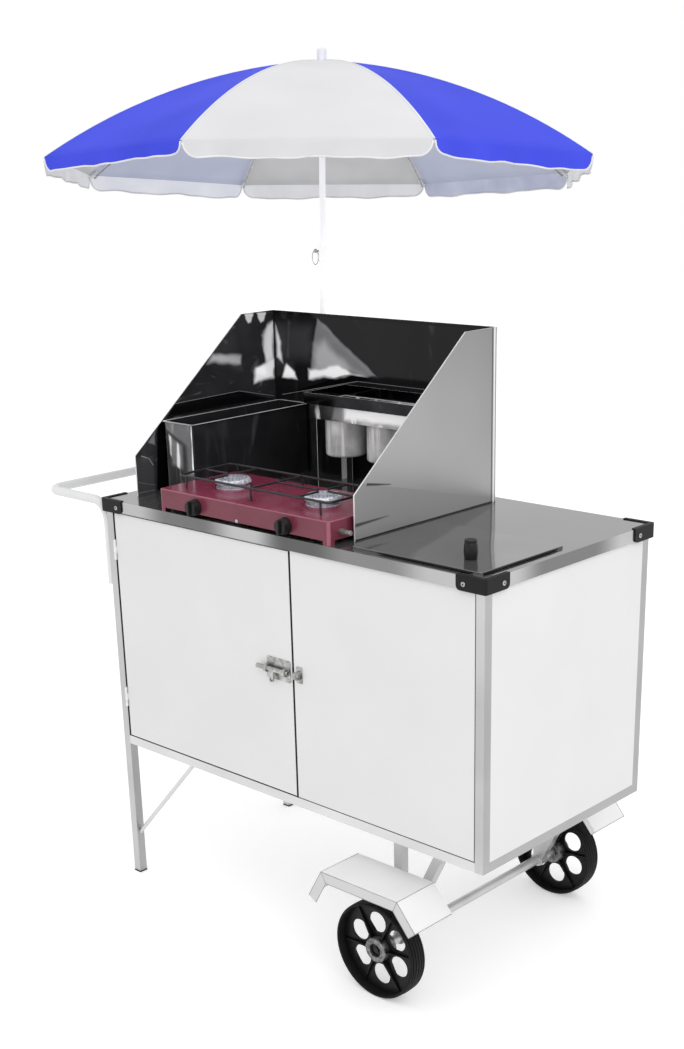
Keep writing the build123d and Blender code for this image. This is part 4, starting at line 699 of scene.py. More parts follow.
def quads(rows: int, columns: int, loop: bool = False) -> np.ndarray:
    """Quad indices of a grid whose points run row by row.

    Args:
        rows: number of rows.
        columns: points in a row.
        loop: whether each row closes on itself.

    Returns:
        An array of four indices a face.
    """
    row, column = np.meshgrid(np.arange(rows - 1), np.arange(columns if loop else columns - 1), indexing="ij")
    here = row * columns + column
    ahead = row * columns + (column + 1) % columns
    return np.stack([here, ahead, ahead + columns, here + columns], -1).reshape(-1, 4)


@dataclass
class Surface:
    """Vertices and faces that become one mesh, put together from several grids.

    Attributes:
        points: arrays of vertices in metres.
        faces: faces as lists of indices.
        slots: material number of each face.
        uv: arrays of a UV pair a vertex, empty where the piece has none.
    """

    points: list[np.ndarray] = field(default_factory=list)
    faces: list[list[int]] = field(default_factory=list)
    slots: list[int] = field(default_factory=list)
    uv: list[np.ndarray] = field(default_factory=list)

    def add(
        self, points: np.ndarray, faces: Sequence, slot: int = 0, uv: np.ndarray | None = None
    ) -> "Surface":
        """Adds a grid.

        Args:
            points: vertices, in any shape whose last axis is x, y and z.
            faces: indices into points.
            slot: material number of the faces.
            uv: one UV pair a vertex.

        Returns:
            The surface itself.
        """
        base = sum(len(part) for part in self.points)
        self.points.append(points.reshape(-1, 3))
        self.faces.extend([int(index) + base for index in face] for face in faces)
        self.slots.extend([slot] * len(faces))
        if uv is not None:
            self.uv.append(uv.reshape(-1, 2))
        return self

    def piece(
        self, name: str, body: str, slot: str, finishes: Sequence[Finish], flat: bool = False
    ) -> Piece:
        """Makes the object, dresses it and lets it ride.

        Args:
            name: the piece's name.
            body: the CAD body that it rides on.
            slot: name of a material slot; not used.
            finishes: the finishes by material number.
            flat: whether its faces are shaded flat.

        Returns:
            The new object.
        """
        mesh = bpy.data.meshes.new(name)
        mesh.from_pydata(np.concatenate(self.points).tolist(), [], self.faces)
        for finish in finishes:
            mesh.materials.append(finish.material())
        mesh.polygons.foreach_set("material_index", np.array(self.slots, np.int32))
        mesh.polygons.foreach_set("use_smooth", np.full(len(self.faces), not flat))
        if self.uv:
            corners = np.zeros(len(mesh.loops), np.int32)
            mesh.loops.foreach_get("vertex_index", corners)
            layer = mesh.uv_layers.new(name="cut")
            layer.data.foreach_set("uv", np.concatenate(self.uv)[corners].astype(np.float32).ravel())
        mesh.update()
        made = bpy.data.objects.new(name, mesh)
        bpy.context.scene.collection.objects.link(made)
        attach(made, body)
        LOG.info("%s: %d faces on %s", name, len(self.faces), body)
        return made


def turned(
    profile: np.ndarray, origin: np.ndarray, axis: Sequence[float], segments: int
) -> tuple[np.ndarray, list]:
    """A profile turned round an axis: point(a, i) = origin + axis h_i + r_i (u cos a + v sin a), with caps.

    Args:
        profile: rows of radius and height in metres, from the axis foot upwards on the outside.
        origin: foot of the axis.
        axis: unit vector along it.
        segments: steps of a turn.

    Returns:
        Vertices and faces, which point outwards.
    """
    axis = np.asarray(axis, float)
    side = unit(np.cross(axis, UP if abs(axis[2]) < 0.9 else (1.0, 0.0, 0.0)))
    ring = spokes(round_steps(segments)) @ np.stack([side, np.cross(axis, side)])
    points = np.asarray(origin) + profile[:, 1, None, None] * axis + profile[:, 0, None, None] * ring
    faces = quads(len(profile), segments, loop=True).tolist()
    faces.append(list(range(segments))[::-1])
    faces.append([(len(profile) - 1) * segments + index for index in range(segments)])
    return points.reshape(-1, 3), faces


def round_outline(radius: float, sides: int, flat: float = 1.0) -> np.ndarray:
    """The outline of a round rod in metres, its height times a share; the radius is in millimetres."""
    return radius * MM * spokes(round_steps(sides)) * (1.0, flat)


def carried(
    path: np.ndarray, across: np.ndarray, rise: np.ndarray, profile: np.ndarray, loop: bool = False
) -> tuple[np.ndarray, list]:
    """A closed profile carried along a path: point(s, i) = path_s + across_s x_i + rise_s y_i.

    Args:
        path: points of the path.
        across: the profile's x direction, one for all or one a point.
        rise: the profile's y direction, one for all or one a point.
        profile: the profile's outline, anticlockwise seen along the path backwards.
        loop: whether the path closes.

    Returns:
        Vertices and faces.
    """
    across, rise = (np.broadcast_to(way, path.shape)[:, None] for way in (across, rise))
    points = path[:, None] + across * profile[None, :, :1] + rise * profile[None, :, 1:]
    rows, sides = points.shape[:2]
    faces = quads(rows, sides, loop=True).tolist()
    if loop:
        last = np.stack([np.arange(sides), np.roll(np.arange(sides), -1)], -1)
        faces += np.concatenate([last + (rows - 1) * sides, last[:, ::-1]], 1).tolist()
    else:
        faces += [list(range(sides))[::-1], list(range((rows - 1) * sides, rows * sides))]
    return points.reshape(-1, 3), faces


def run_of(path: np.ndarray, loop: bool = False) -> np.ndarray:
    """Unit direction of a path at each of its points."""
    return unit(np.roll(path, -1, axis=0) - np.roll(path, 1, axis=0) if loop else np.gradient(path, axis=0))


def recalculate(piece: Piece, merge: bool = False) -> Piece:
    """Turns the faces of a closed mesh outwards, where asked after its doubles are merged.

    Args:
        piece: the object.
        merge: whether points in the same place are merged first.

    Returns:
        The object.
    """
    work = bmesh.new()
    work.from_mesh(piece.data)
    if merge:
        bmesh.ops.remove_doubles(work, verts=work.verts, dist=0.01 * MM)
    bmesh.ops.recalc_face_normals(work, faces=work.faces)
    work.to_mesh(piece.data)
    work.free()
    return piece


def thicken(piece: Piece, thickness: float) -> bpy.types.Modifier:
    """Gives a sheet its thickness, inwards.

    Args:
        piece: the sheet.
        thickness: in millimetres.

    Returns:
        The modifier.
    """
    wall = piece.modifiers.new("sheet", "SOLIDIFY")
    wall.thickness = thickness * MM
    wall.offset = -1.0
    return wall


@dataclass(frozen=True)
class Studio:
    """White room, pale floor, soft key light and the camera at the photograph's angle.

    Attributes:
        azimuth, elevation, roll: the camera's angles in degrees.
        position: the camera, in millimetres from the cabinet's front left foot.
        focal: focal length over the picture's height.
        rise: shift of the picture centre over the picture's height.
        sensor: size of the camera's sensor, in millimetres.
        sight: how far the camera sees, in metres.
        ambient: strength of the room's light on the object.
        floor_reach, floor_glow: half the floor's width in metres, and the light that lifts it to white.
        key_power, key_size: watts and width of the key light.
        key_place, key_aim: where it stands and where it looks, in metres.
    """

    azimuth: float = 43.946
    elevation: float = 20.014
    roll: float = -1.498
    position: Point = (2619.7, -1992.6, 1614.7)
    focal: float = 1514.7 / 1049
    rise: float = 0.1622
    sensor: float = 36.0
    sight: float = 60.0
    ambient: float = 0.99
    floor_reach: float = 14.0
    floor_glow: float = 0.3
    key_power: float = 42.0
    key_size: float = 3.0
    key_place: Point = (3.5, -2.2, 3.6)
    key_aim: Point = (0.1, 0.0, 0.8)

    def build(self) -> None:
        """Makes the camera, room, floor and key light."""
        bpy.context.scene.view_settings.view_transform = "Standard"
        self.camera()
        self.room()
        self.floor()
        self.key()

    def camera(self) -> None:
        """Sets the camera: its axes from azimuth and elevation, turned by the roll."""
        turn, tilt, roll = (math.radians(value) for value in (self.azimuth, self.elevation, self.roll))
        back = Vector((math.sin(turn) * math.cos(tilt), -math.cos(turn) * math.cos(tilt), math.sin(tilt)))
        level = Vector((math.cos(turn), math.sin(turn), 0))
        upright = back.cross(level)
        right = math.cos(roll) * level + math.sin(roll) * upright
        up = math.cos(roll) * upright - math.sin(roll) * level
        data = bpy.data.cameras.new("camera")
        data.sensor_fit = "AUTO"
        data.sensor_width = self.sensor
        data.lens = self.focal * self.sensor
        data.shift_y = self.rise
        data.clip_end = self.sight
        camera = bpy.data.objects.new("camera", data)
        columns = Matrix((right, up, back)).transposed().to_4x4()
        camera.matrix_world = Matrix.Translation(Vector(place(*self.position))) @ columns
        bpy.context.scene.collection.objects.link(camera)
        bpy.context.scene.camera = camera

    @staticmethod
    def seen(tree: Tree) -> Socket:
        """A socket that is 1 for rays from the camera, a mirror or glass."""
        rays = ("Is Camera Ray", "Is Glossy Ray", "Is Transmission Ray")
        return gathered(tree, "MAXIMUM", [add_node(tree, "LightPath", out=ray) for ray in rays])

    def room(self) -> None:
        """White world: strength 1 where it is seen, the ambient strength where it lights."""
        world = bpy.data.worlds.new("white_room")
        world.use_nodes = True
        bpy.context.scene.world = world
        tree = world.node_tree
        ends = {"To Min": self.ambient, "To Max": 1.0}
        strength = add_node(tree, "MapRange", ends, {"Value": self.seen(tree)})
        background = tree.nodes["Background"]
        background.inputs["Color"].default_value = linear("#FFFFFF")
        tree.links.new(strength, background.inputs["Strength"])

    def floor(self) -> None:
        """Pale floor that keeps the object's shadow and meets the white room."""
        mesh = bpy.data.meshes.new("floor")
        reach = self.floor_reach
        corners = [(-reach, -reach, 0), (reach, -reach, 0), (reach, reach, 0), (-reach, reach, 0)]
        mesh.from_pydata(corners, [], [(0, 1, 2, 3)])
        material = bpy.data.materials.new("matt_white_floor")
        material.use_nodes = True
        tree = material.node_tree
        tree.nodes.remove(tree.nodes["Principled BSDF"])
        matt = add_node(tree, "BsdfDiffuse", {"Color": linear("#EFEFEF")})
        glow = add_node(tree, "Math", {"operation": "MULTIPLY", 1: self.floor_glow}, {0: self.seen(tree)})
        light = add_node(tree, "Emission", {"Color": linear("#FFFFFF")}, {"Strength": glow})
        both = add_node(tree, "AddShader", {}, {0: matt, 1: light})
        tree.links.new(both, tree.nodes["Material Output"].inputs["Surface"])
        mesh.materials.append(material)
        floor = bpy.data.objects.new("floor", mesh)
        bpy.context.scene.collection.objects.link(floor)

    def key(self) -> None:
        """A wide soft lamp, high in front on the right."""
        data = bpy.data.lights.new("key", "AREA")
        data.shape = "SQUARE"
        data.size = self.key_size
        data.energy = self.key_power
        lamp = bpy.data.objects.new("key", data)
        lamp.location = Vector(self.key_place)
        aim = Vector(self.key_aim) - lamp.location
        lamp.rotation_euler = aim.to_track_quat("-Z", "Y").to_euler()
        bpy.context.scene.collection.objects.link(lamp)


@dataclass(frozen=True)
class Umbrella:
    """The umbrella's cloth: eight panels, each sewn from two half gores over its rib, with a hanging valance.

    Lengths are in millimetres and angles in degrees.

    Attributes:
        foot: foot of the pole from the cabinet's front left foot.
        lean: the mast's lean to the left and to the rear.
        crest, rim_up: heights of the cloth's crest and rim along the mast.
        top_radius, rim_radius: where the cloth starts under the finial, and its corners at the ribs.
        first_rib, ribs: angle of the first rib, and their number.
        drop, corner, notch: the valance's depth, the radius of its corners and the gap at each rib.
        hang: for each gore, its valance's share of the depth, how it tilts, and the phase of its ripple.
        uneven, ripple: the hem's waves up and down, as a share, and in and out. Each row is a wave's height,
            its number along the hem and how often it takes the phase.
        slope: fall of the cloth where it leaves the crest.
        slack: how far the middle of a gore hangs in.
        thickness: cloth thickness as drawn.
        keep: share of a panel's width that is left when the ribs are folded; not used.
        lap, lap_inside, lap_under: how far the tape under a gore's middle reaches below the next panel and
            below its own, and how far it lies under the cloth.
        lap_length: the tape's length on its UV map.
        lit_gore: the gore whose valance has the light behind it.
        piping_radius: radius of the tape round the hem.
        seam: half the width of the seam over a rib, and its height as a share of it.
        sleeve: profile of the sleeve on a rib's end, rows of radius and height.
        sleeve_inside, sleeve_over: from the cloth's corner inwards and upwards to the sleeve's foot.
        pin_up, pin_turn: the pin's height along the mast, and its angle round it.
        stub: the pin's profile, rows of radius and distance from the mast's middle.
        loop_out, loop_down, loop_sizes, loop_wire: the wire loop's middle, half width and height, and radius.
        rows, hem_rows, columns: points of a half gore's grid down to the rim, below it and across.
    """

    foot: Point = (134.0, 535.5, 612.0)
    lean: tuple[float, float] = (2.86, 4.86)
    crest: float = 1182.0
    rim_up: float = 960.0
    top_radius: float = 8.0
    rim_radius: float = 629.0
    first_rib: float = 18.8
    ribs: int = 8
    drop: float = 34.0
    corner: float = 30.0
    notch: float = 5.0
    hang: Rows = (
        (1.0, 0.05, 0.4), (1.0, -0.04, 1.7), (0.97, 0.06, 2.9), (1.0, 0.0, 4.1),
        (0.96, 0.05, 5.2), (0.77, -0.12, 0.9), (0.96, 0.02, 2.2), (0.97, 0.08, 3.4),
    )
    uneven: Rows = ((0.05, 7.5, 1), (0.03, 17.0, -2))
    ripple: Rows = ((3.2, 9.5, 1), (1.6, 25.0, 3))
    slope: float = 5.0
    slack: float = 6.0
    thickness: float = 0.8
    keep: float = 0.56
    lap: float = 18.0
    lap_inside: float = 3.0
    lap_under: float = 1.6
    lap_length: float = 540.0
    lit_gore: int = 3
    piping_radius: float = 1.9
    seam: tuple[float, float] = (2.4, 0.7 / 2.4)
    sleeve: Rows = ((2.2, 0), (3.4, 1), (3.4, 24), (2.9, 26), (1.6, 27.4), (0.3, 28))
    sleeve_inside: float = 25.0
    sleeve_over: float = 7.5
    pin_up: float = 774.0
    pin_turn: float = 225.0
    stub: Rows = (
        (2.0, 7.4), (2.0, 13.6), (4.2, 13.8), (4.6, 14.4), (4.6, 18.6), (4.0, 19.4), (0.4, 19.8),
    )
    loop_out: float = 17.0
    loop_down: float = 14.0
    loop_sizes: tuple[float, float] = (7.0, 16.0)
    loop_wire: float = 1.1
    rows: int = 26
    hem_rows: int = 9
    columns: int = 22

    @property
    def axes(self) -> tuple[np.ndarray, np.ndarray, np.ndarray]:
        """The mast's own axes: two across it and one up it."""
        left, rear = (math.tan(math.radians(value)) for value in self.lean)
        up = unit(np.array((-left, rear, 1.0)))
        across = unit(np.array((1.0, 0.0, 0.0)) - up[0] * up)
        return across, np.cross(up, across), up

    def outward(self, angle: float) -> np.ndarray:
        """The way out from the mast at an angle round it."""
        across, along, _ = self.axes
        return math.cos(angle) * across + math.sin(angle) * along

    def height(self, radius: np.ndarray) -> np.ndarray:
        """Height of the cloth on a rib: an arc that leaves the crest on the slope and meets the rim.

        Args:
            radius: distances from the mast.

        Returns:
            Heights along the mast.
        """
        slope = math.radians(self.slope)
        rise = self.crest - self.rim_up
        arc = math.hypot(self.rim_radius, rise) / (2 * math.sin(math.atan2(rise, self.rim_radius) - slope))
        return self.crest - arc * math.cos(slope) + np.sqrt(arc**2 - (radius + arc * math.sin(slope)) ** 2)

    @staticmethod
    def waves(rows: Sequence, along: np.ndarray, phase: float) -> np.ndarray:
        """The sum of height cos(number along + times phase) over the rows."""
        return sum(height * np.cos(number * along + times * phase) for height, number, times in rows)

    def half_gore(self, rib: int, side: int) -> tuple[np.ndarray, np.ndarray]:
        """The cloth from a rib to the middle of the gore beside it, and its valance.

        A row at rib radius r lies on the chord between two ribs: r cos(w) out along the gore's middle and
        r sin(w) (1 - t) sideways, with w half a gore and t from 0 on the rib to 1. The middle sags in by the
        slack. Below the rim the valance hangs down the mast, with rounded corners and a soft ripple; close to
        the rib, where (1 - t)^12 isn't small, it draws back by half the notch.

        Args:
            rib: rib number from 0.
            side: 1 for the gore at the larger angle, -1 for the other.

        Returns:
            Grid of points in metres, rows from the crest to the hem, and the UV grid in metres.
        """
        half = math.pi / self.ribs
        middle = math.radians(self.first_rib) + (2 * rib + side) * half
        out = self.outward(middle)
        to_rib = -side * self.outward(middle + math.pi / 2)
        t = np.linspace(0, 1, self.columns) ** 1.5
        radius = np.linspace(self.top_radius, self.rim_radius, self.rows)[:, None]
        share = (radius - self.top_radius) / (self.rim_radius - self.top_radius)
        bow = t * (2 - t)
        distance = radius * math.cos(half) - self.slack * bow * share**2
        sideways = radius * math.sin(half) * (1 - t)
        height = self.height(radius) - self.slack * bow * np.sin(np.pi * share)
        hang = np.linspace(0, 1, self.hem_rows + 1)[1:, None]
        reach = self.rim_radius * math.sin(half)
        hem_side = reach * (1 - t) - (1 - t) ** 12 * self.notch / 2 * np.minimum(1, hang * 6)
        depth, tilt, phase = self.hang[(rib + (side - 1) // 2) % self.ribs]
        along_hem = -side * hem_side / reach
        depth = self.drop * depth * (1 + tilt * along_hem + self.waves(self.uneven, along_hem, phase))
        corner = np.minimum(self.corner, 0.9 * depth)
        from_corner = np.minimum(np.clip(reach - self.notch / 2 - hem_side, 0, self.corner), corner)
        fall = depth - (corner - np.sqrt(corner**2 - (corner - from_corner) ** 2))
        ripple = self.waves(self.ripple, along_hem, phase) * hang**1.5 * np.minimum(1, from_corner / corner)
        hem_height = height[-1] - fall * hang
        distance = np.concatenate([distance, distance[-1] + ripple])
        sideways = np.concatenate([sideways, hem_side])
        height = np.concatenate([np.broadcast_to(height, (self.rows, self.columns)), hem_height])
        points = place(*self.foot) + MM * (
            distance[..., None] * out + sideways[..., None] * to_rib + height[..., None] * self.axes[2]
        )
        steps = np.linalg.norm(np.diff(points[:, -1], axis=0), axis=1)
        run = np.concatenate([[0.0], np.cumsum(steps)])[:, None]
        return points, np.stack([side * sideways * MM, np.broadcast_to(run, sideways.shape)], -1)

    def build(self) -> None:
        """Makes every rib's panel of cloth with its trim, the caps on the rib ends, and the pole's pin."""
        up = self.axes[2]
        for rib in range(self.ribs):
            angle = math.radians(self.first_rib) + rib * 2 * math.pi / self.ribs
            tangent = self.outward(angle + math.pi / 2)
            panel = self.panel(rib)
            sewn = [self.piping(rib), self.tape(rib, tangent), self.lapped(rib)]
            for piece in (panel, *sewn):
                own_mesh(piece)
            self.declare(rib)
            self.tip(rib, self.outward(angle), up)
        self.pin(up)

    def declare(self, rib: int) -> None:
        """Computes the panel's two half gores on its own grid; nothing further is done with them.

        Args:
            rib: rib number from 0.
        """
        points = [self.half_gore(rib, side)[0] for side in (-1, 1)]

    def panel(self, rib: int) -> Piece:
        """One rib's cloth: two half gores of different colour, lined underneath.

        Args:
            rib: rib number from 0.

        Returns:
            The panel, which stands for the plain canopy.
        """
        outside = (WHITE_CLOTH, BLUE_CLOTH, WHITE_VALANCE, BLUE_CLOTH, BLUE_CLOTH)
        inside = (WHITE_LINING, BLUE_LINING, WHITE_VALANCE_LINING, BLUE_VALANCE_LINING, LIT_VALANCE_LINING)
        hem = np.repeat(np.arange(self.rows + self.hem_rows - 1) >= self.rows - 1, self.columns - 1)
        surface = Surface()
        slots = []
        for side in (-1, 1):
            points, uv = self.half_gore(rib, side)
            faces = quads(*points.shape[:2])[:, ::-side]
            blue = (rib + (side + 1) // 2) % 2 == 0
            lit = (rib + (side - 1) // 2) % self.ribs == self.lit_gore
            surface.add(points, faces, uv=uv)
            slots.append(int(blue) + (3 if lit else 2) * hem)
        surface.slots = np.concatenate(slots).tolist()
        panel = surface.piece(f"canopy_panel_{rib + 1}", f"rib_{rib + 1}", "blue_cloth", outside + inside)
        thicken(panel, self.thickness).material_offset = len(outside)
        panel.modifiers.new("edges", "EDGE_SPLIT").split_angle = math.radians(75)
        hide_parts("canopy")
        return panel

    def piping(self, rib: int) -> Piece:
        """White tape round the edge of the rib's two valances: a round profile carried along the hem.

        Args:
            rib: rib number from 0.

        Returns:
            The tape of both valances.
        """
        surface = Surface()
        for side in (-1, 1):
            path = self.half_gore(rib, side)[0][-1]
            way = run_of(path)
            out = unit(np.cross(way, self.axes[2]) * side)
            surface.add(*carried(path, out, np.cross(out, way), round_outline(self.piping_radius, 6)))
        name = f"valance_piping_{rib + 1}"
        return recalculate(surface.piece(name, f"rib_{rib + 1}", "blue_cloth", (PIPING,)))

    def tape(self, rib: int, tangent: np.ndarray) -> Piece:
        """Felled seam over a rib: a flat rounded strip carried along the cloth from the crest to the rim.

        Args:
            rib: rib number from 0.
            tangent: the way across the rib.

        Returns:
            The seam.
        """
        path = self.half_gore(rib, 1)[0][1:self.rows, 0]
        half, flat = self.seam
        surface = Surface().add(
            *carried(path, tangent, np.cross(run_of(path), tangent), round_outline(half, 8, flat))
        )
        return recalculate(surface.piece(f"rib_tape_{rib + 1}", f"rib_{rib + 1}", "blue_cloth", (PIPING,)))

    def lapped(self, rib: int) -> Piece:
        """Tape of the gore's cloth under its middle.

        A flat strip under the cloth: it runs from inside its own panel to the lap under the next one, is
        narrower towards the crest and the rim, and ends four rows above the rim.

        Args:
            rib: rib number from 0.

        Returns:
            The tape.
        """
        grid = self.half_gore(rib, 1)[0][1:self.rows - 4]
        middle = grid[:, -1]
        beyond = unit(middle - grid[:, -2])
        share = np.linspace(0, 1, len(grid))
        reach = self.lap * np.minimum(1, np.minimum(0.45 + 6 * share, 0.4 + 3 * (1 - share)))
        edges = np.stack([np.full_like(reach, -self.lap_inside), reach], 1) * MM
        points = middle[:, None] + edges[..., None] * beyond[:, None] - self.lap_under * MM * self.axes[2]
        run = np.broadcast_to((self.lap_length * MM * share)[:, None], edges.shape)
        surface = Surface().add(points, quads(len(grid), 2)[:, ::-1], uv=np.stack([edges, run], -1))
        cloth = WHITE_CLOTH if rib % 2 == 0 else BLUE_CLOTH
        tape = surface.piece(f"gore_tape_{rib + 1}", f"rib_{rib + 1}", "blue_cloth", (cloth,))
        thicken(tape, self.thickness)
        return tape

    def tip(self, rib: int, outward: np.ndarray, up: np.ndarray) -> None:
        """White sleeve on a rib's end: a small turned bullet along the rib to the cloth's corner.

        Args:
            rib: rib number from 0.
            outward: the way out from the mast along the rib.
            up: the way up the mast.
        """
        slope = 2 * math.atan2(self.crest - self.rim_up, self.rim_radius) - math.radians(self.slope)
        way = math.cos(slope) * outward - math.sin(slope) * up
        start = place(*self.foot) + MM * (
            (self.rim_radius - self.sleeve_inside) * outward + (self.rim_up + self.sleeve_over) * up
        )
        surface = Surface().add(*turned(np.array(self.sleeve) * MM, start, way, 14))
        surface.piece(f"rib_tip_{rib + 1}", f"rib_{rib + 1}", "white_plastic", (WHITE_PLASTIC,))

    def pin(self, up: np.ndarray) -> None:
        """The pole's pin: a stepped stub turned out of the pole, with a wire loop that hangs from it.

        Args:
            up: the way up the mast.
        """
        way = self.outward(math.radians(self.pin_turn))
        start = place(*self.foot) + up * self.pin_up * MM
        middle = start + MM * (self.loop_out * way - self.loop_down * up)
        path = middle + MM * (spokes(round_steps(48)) * self.loop_sizes) @ np.stack([way, up])
        side = np.cross(way, up)
        surface = Surface().add(*turned(np.array(self.stub) * MM, start, way, 20))
        wire = round_outline(self.loop_wire, 8)
        surface.add(*carried(path, side, np.cross(run_of(path, loop=True), side), wire, loop=True))
        loop = recalculate(surface.piece("pole_pin_loop", "cart", "zinc_steel", (ZINC,)))
        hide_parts("pole_pin")


@dataclass(frozen=True)
class Cabinet:
    """The cabinet's trim: painted shadow in the door's gaps and under the lid, the lid's knob, the corner
    guards and the fasteners.

    Attributes:
        barrel: the knob's profile, rows of radius and height as shares of the knob's own.
        dome, hole: profiles of a rivet or screw head and of a rivet's hole, as shares of the head's radius.
        rivet_radius, rivet_inset, rivet_level: the guards' rivets: their radius, their place from the guard's
            corner, and their height as a share of the guard's.
        screw_radii, screw_inset, screw_plate: the screws of the bolt and of its keeper, their place from the
            plate's edge, and the plate's thickness.
        post, leaf: width of a post and height of a hinge's leaf.
        gap_shadow_widths: half widths of the black strips of painted shadow at the hinges, below the door,
            below the panel, beside the panel and on the door's free edge.
        gap_shadow_depths: how far behind the cabinet's front the door's, the panel's and the edge's strips
            lie.
        line_inset: the panel's strips from its lower and its right edge.
            shadow_gap_corner, shadow_gap_level: radius of the lid's corners, and the height of the painted
                shadow under
            the lid.
            shadow_gap_half, shadow_gap_flat, shadow_gap_out: half its width, its height as a share of it, and
            how far its middle lies outside the lid's edge.
            shadow_gap_grow, shadow_gap_least: where, from the lid's left and rear edges, the strip starts to
                grow and
            is whole, and its least share.
        guard_arm, guard_wall, guard_lip: a guard's length each way, its wall and its lip over the worktop.
        guard_round, guard_bend: the radius of a guard's lower corners and of its bend.
        lip_depths: how far the lip's edge and its root lie under the guard's top.
    """

    barrel: Rows = (
        (0.84, 0.0), (0.9, 0.03), (0.95, 0.18), (1.0, 0.36), (1.0, 0.5), (0.96, 0.68), (0.9, 0.84),
        (0.86, 0.86), (0.86, 0.88), (0.89, 0.9), (0.88, 0.96), (0.83, 0.995), (0.6, 1.0), (0.02, 0.99),
    )
    dome: Rows = (
        (1.0, -0.1), (1.0, 0.1), (0.94, 0.22), (0.75, 0.36), (0.5, 0.42), (0.42, 0.36), (0.3, 0.3),
        (0.02, 0.3),
    )
    hole: Rows = ((0.4, -0.1), (0.36, 0.34), (0.02, 0.34))
    rivet_radius: float = 4.9
    rivet_inset: float = 51.0
    rivet_level: float = 0.43
    screw_radii: tuple[float, float] = (2.6, 2.4)
    screw_inset: float = 6.0
    screw_plate: float = 1.5
    post: float = 20.0
    leaf: float = 46.0
    gap_shadow_widths: tuple[float, ...] = (2.8, 1.3, 1.0, 0.8, 3.0)
    gap_shadow_depths: Point = (1.2, 0.3, 0.4)
    line_inset: tuple[float, float] = (1.2, 0.8)
    shadow_gap_corner: float = 10.0
    shadow_gap_level: float = 902.2
    shadow_gap_half: float = 3.0
    shadow_gap_flat: float = 2.0 / 3.0
    shadow_gap_out: float = 1.2
    shadow_gap_grow: Rows = ((60.0, 90.0), (15.0, 40.0))
    shadow_gap_least: float = 0.15
    guard_arm: float = 68.0
    guard_wall: float = 3.0
    guard_lip: float = 9.0
    guard_round: float = 9.0
    guard_bend: float = 5.0
    lip_depths: tuple[float, float] = (1.6, 2.0)

    def build(self) -> None:
        """Makes the painted shadows in the door's gaps and under the lid, the knob, the guards, the rivets and
        the screws.
        """
        self.gap_shadows()
        self.shadow_gap()
        self.knob()
        self.guards()
        self.rivets()
        self.screws()

    def knob(self) -> None:
        """The lid's knob: a turned barrel with a flat top and a fine bead below it."""
        low, high = box("lid_knob")
        sizes = ((high[0] - low[0]) / 2, high[2] - low[2])
        foot = (low + high) / 2 * (1, 1, 0) + low * UP
        surface = Surface().add(*turned(np.array(self.barrel) * sizes, foot, UP, 40))
        barrel = surface.piece("barrel_knob", "lid", "black_knob", (KNOB_PLASTIC,))
        barrel.data.set_sharp_from_angle(angle=math.radians(45))
        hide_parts("lid_knob")

    def screws(self) -> None:
        """Screw heads at the corners of the bolt's plate and on the ears of its keeper."""
        face = CORNER[1] - self.screw_plate * MM
        inset = self.screw_inset * MM
        low, high = box("bolt_case")
        keeper_low, keeper_high = box("bolt_keeper")
        heights = (low[2] + inset, high[2] - inset)
        plate = [((x, face, z), -REARWARD) for x in (low[0] + inset, high[0] - inset) for z in heights]
        middle = (keeper_low[0] + keeper_high[0]) / 2
        ears = [((middle, face, z), -REARWARD) for z in (keeper_low[2] + inset, keeper_high[2] - inset)]
        self.heads("bolt_screws", "door", plate, self.screw_radii[0])
        self.heads("keeper_screws", "cart", ears, self.screw_radii[1])

    def gap_shadows(self) -> None:
        """Black strips of painted shadow in the gaps at the hinges and below, and on the door's free edge."""
        (door_low, door_high), (panel_low, panel_high) = box("door_panel"), box("front_panel")
        hinge_low, hinge_high = box("hinge_post_leaves")
        face, line, edge = (CORNER[1] + depth * MM for depth in self.gap_shadow_depths)
        hinge = self.leaf * MM
        left = (CORNER[0] + self.post * MM + door_low[0]) / 2
        seam = (door_high[0] + panel_low[0]) / 2
        foot = (door_low[2] + panel_low[2]) / 2
        below = panel_low[2] + self.line_inset[0] * MM
        beside = panel_high[0] - self.line_inset[1] * MM
        upright = (
            (door_low[2], hinge_low[2]), (hinge_low[2] + hinge, hinge_high[2] - hinge),
            (hinge_high[2], door_high[2]),
        )
        widths = self.gap_shadow_widths
        runs = [((left, face, low), (left, face, high), widths[0]) for low, high in upright]
        runs.append(((door_low[0], face, foot), (door_high[0], face, foot), widths[1]))
        runs.append(((panel_low[0], line, below), (panel_high[0], line, below), widths[2]))
        runs.append(((beside, line, panel_low[2]), (beside, line, panel_high[2]), widths[3]))
        self.strips("door_gap_shadows", "cart", runs)
        free = ((seam, edge, panel_low[2]), (seam, edge, door_high[2]), widths[4])
        self.strips("door_edge_gap_shadow", "door", [free])

    @staticmethod
    def strips(name: str, body: str, runs: Sequence) -> None:
        """Black strips 2 mm high, painted shadow: a rounded outline carried along each straight run.

        Args:
            name: the piece's name.
            body: the body that it rides on.
            runs: start, end and half width in millimetres of each strip.
        """
        surface = Surface()
        for start, end, half in runs:
            path = np.array([start, end])
            across = unit(np.cross(path[1] - path[0], REARWARD))
            surface.add(*carried(path, across, REARWARD, round_outline(half, 12, 1 / half)))
        recalculate(surface.piece(name, body, "black_plastic", (SHADOW_BLACK,)))

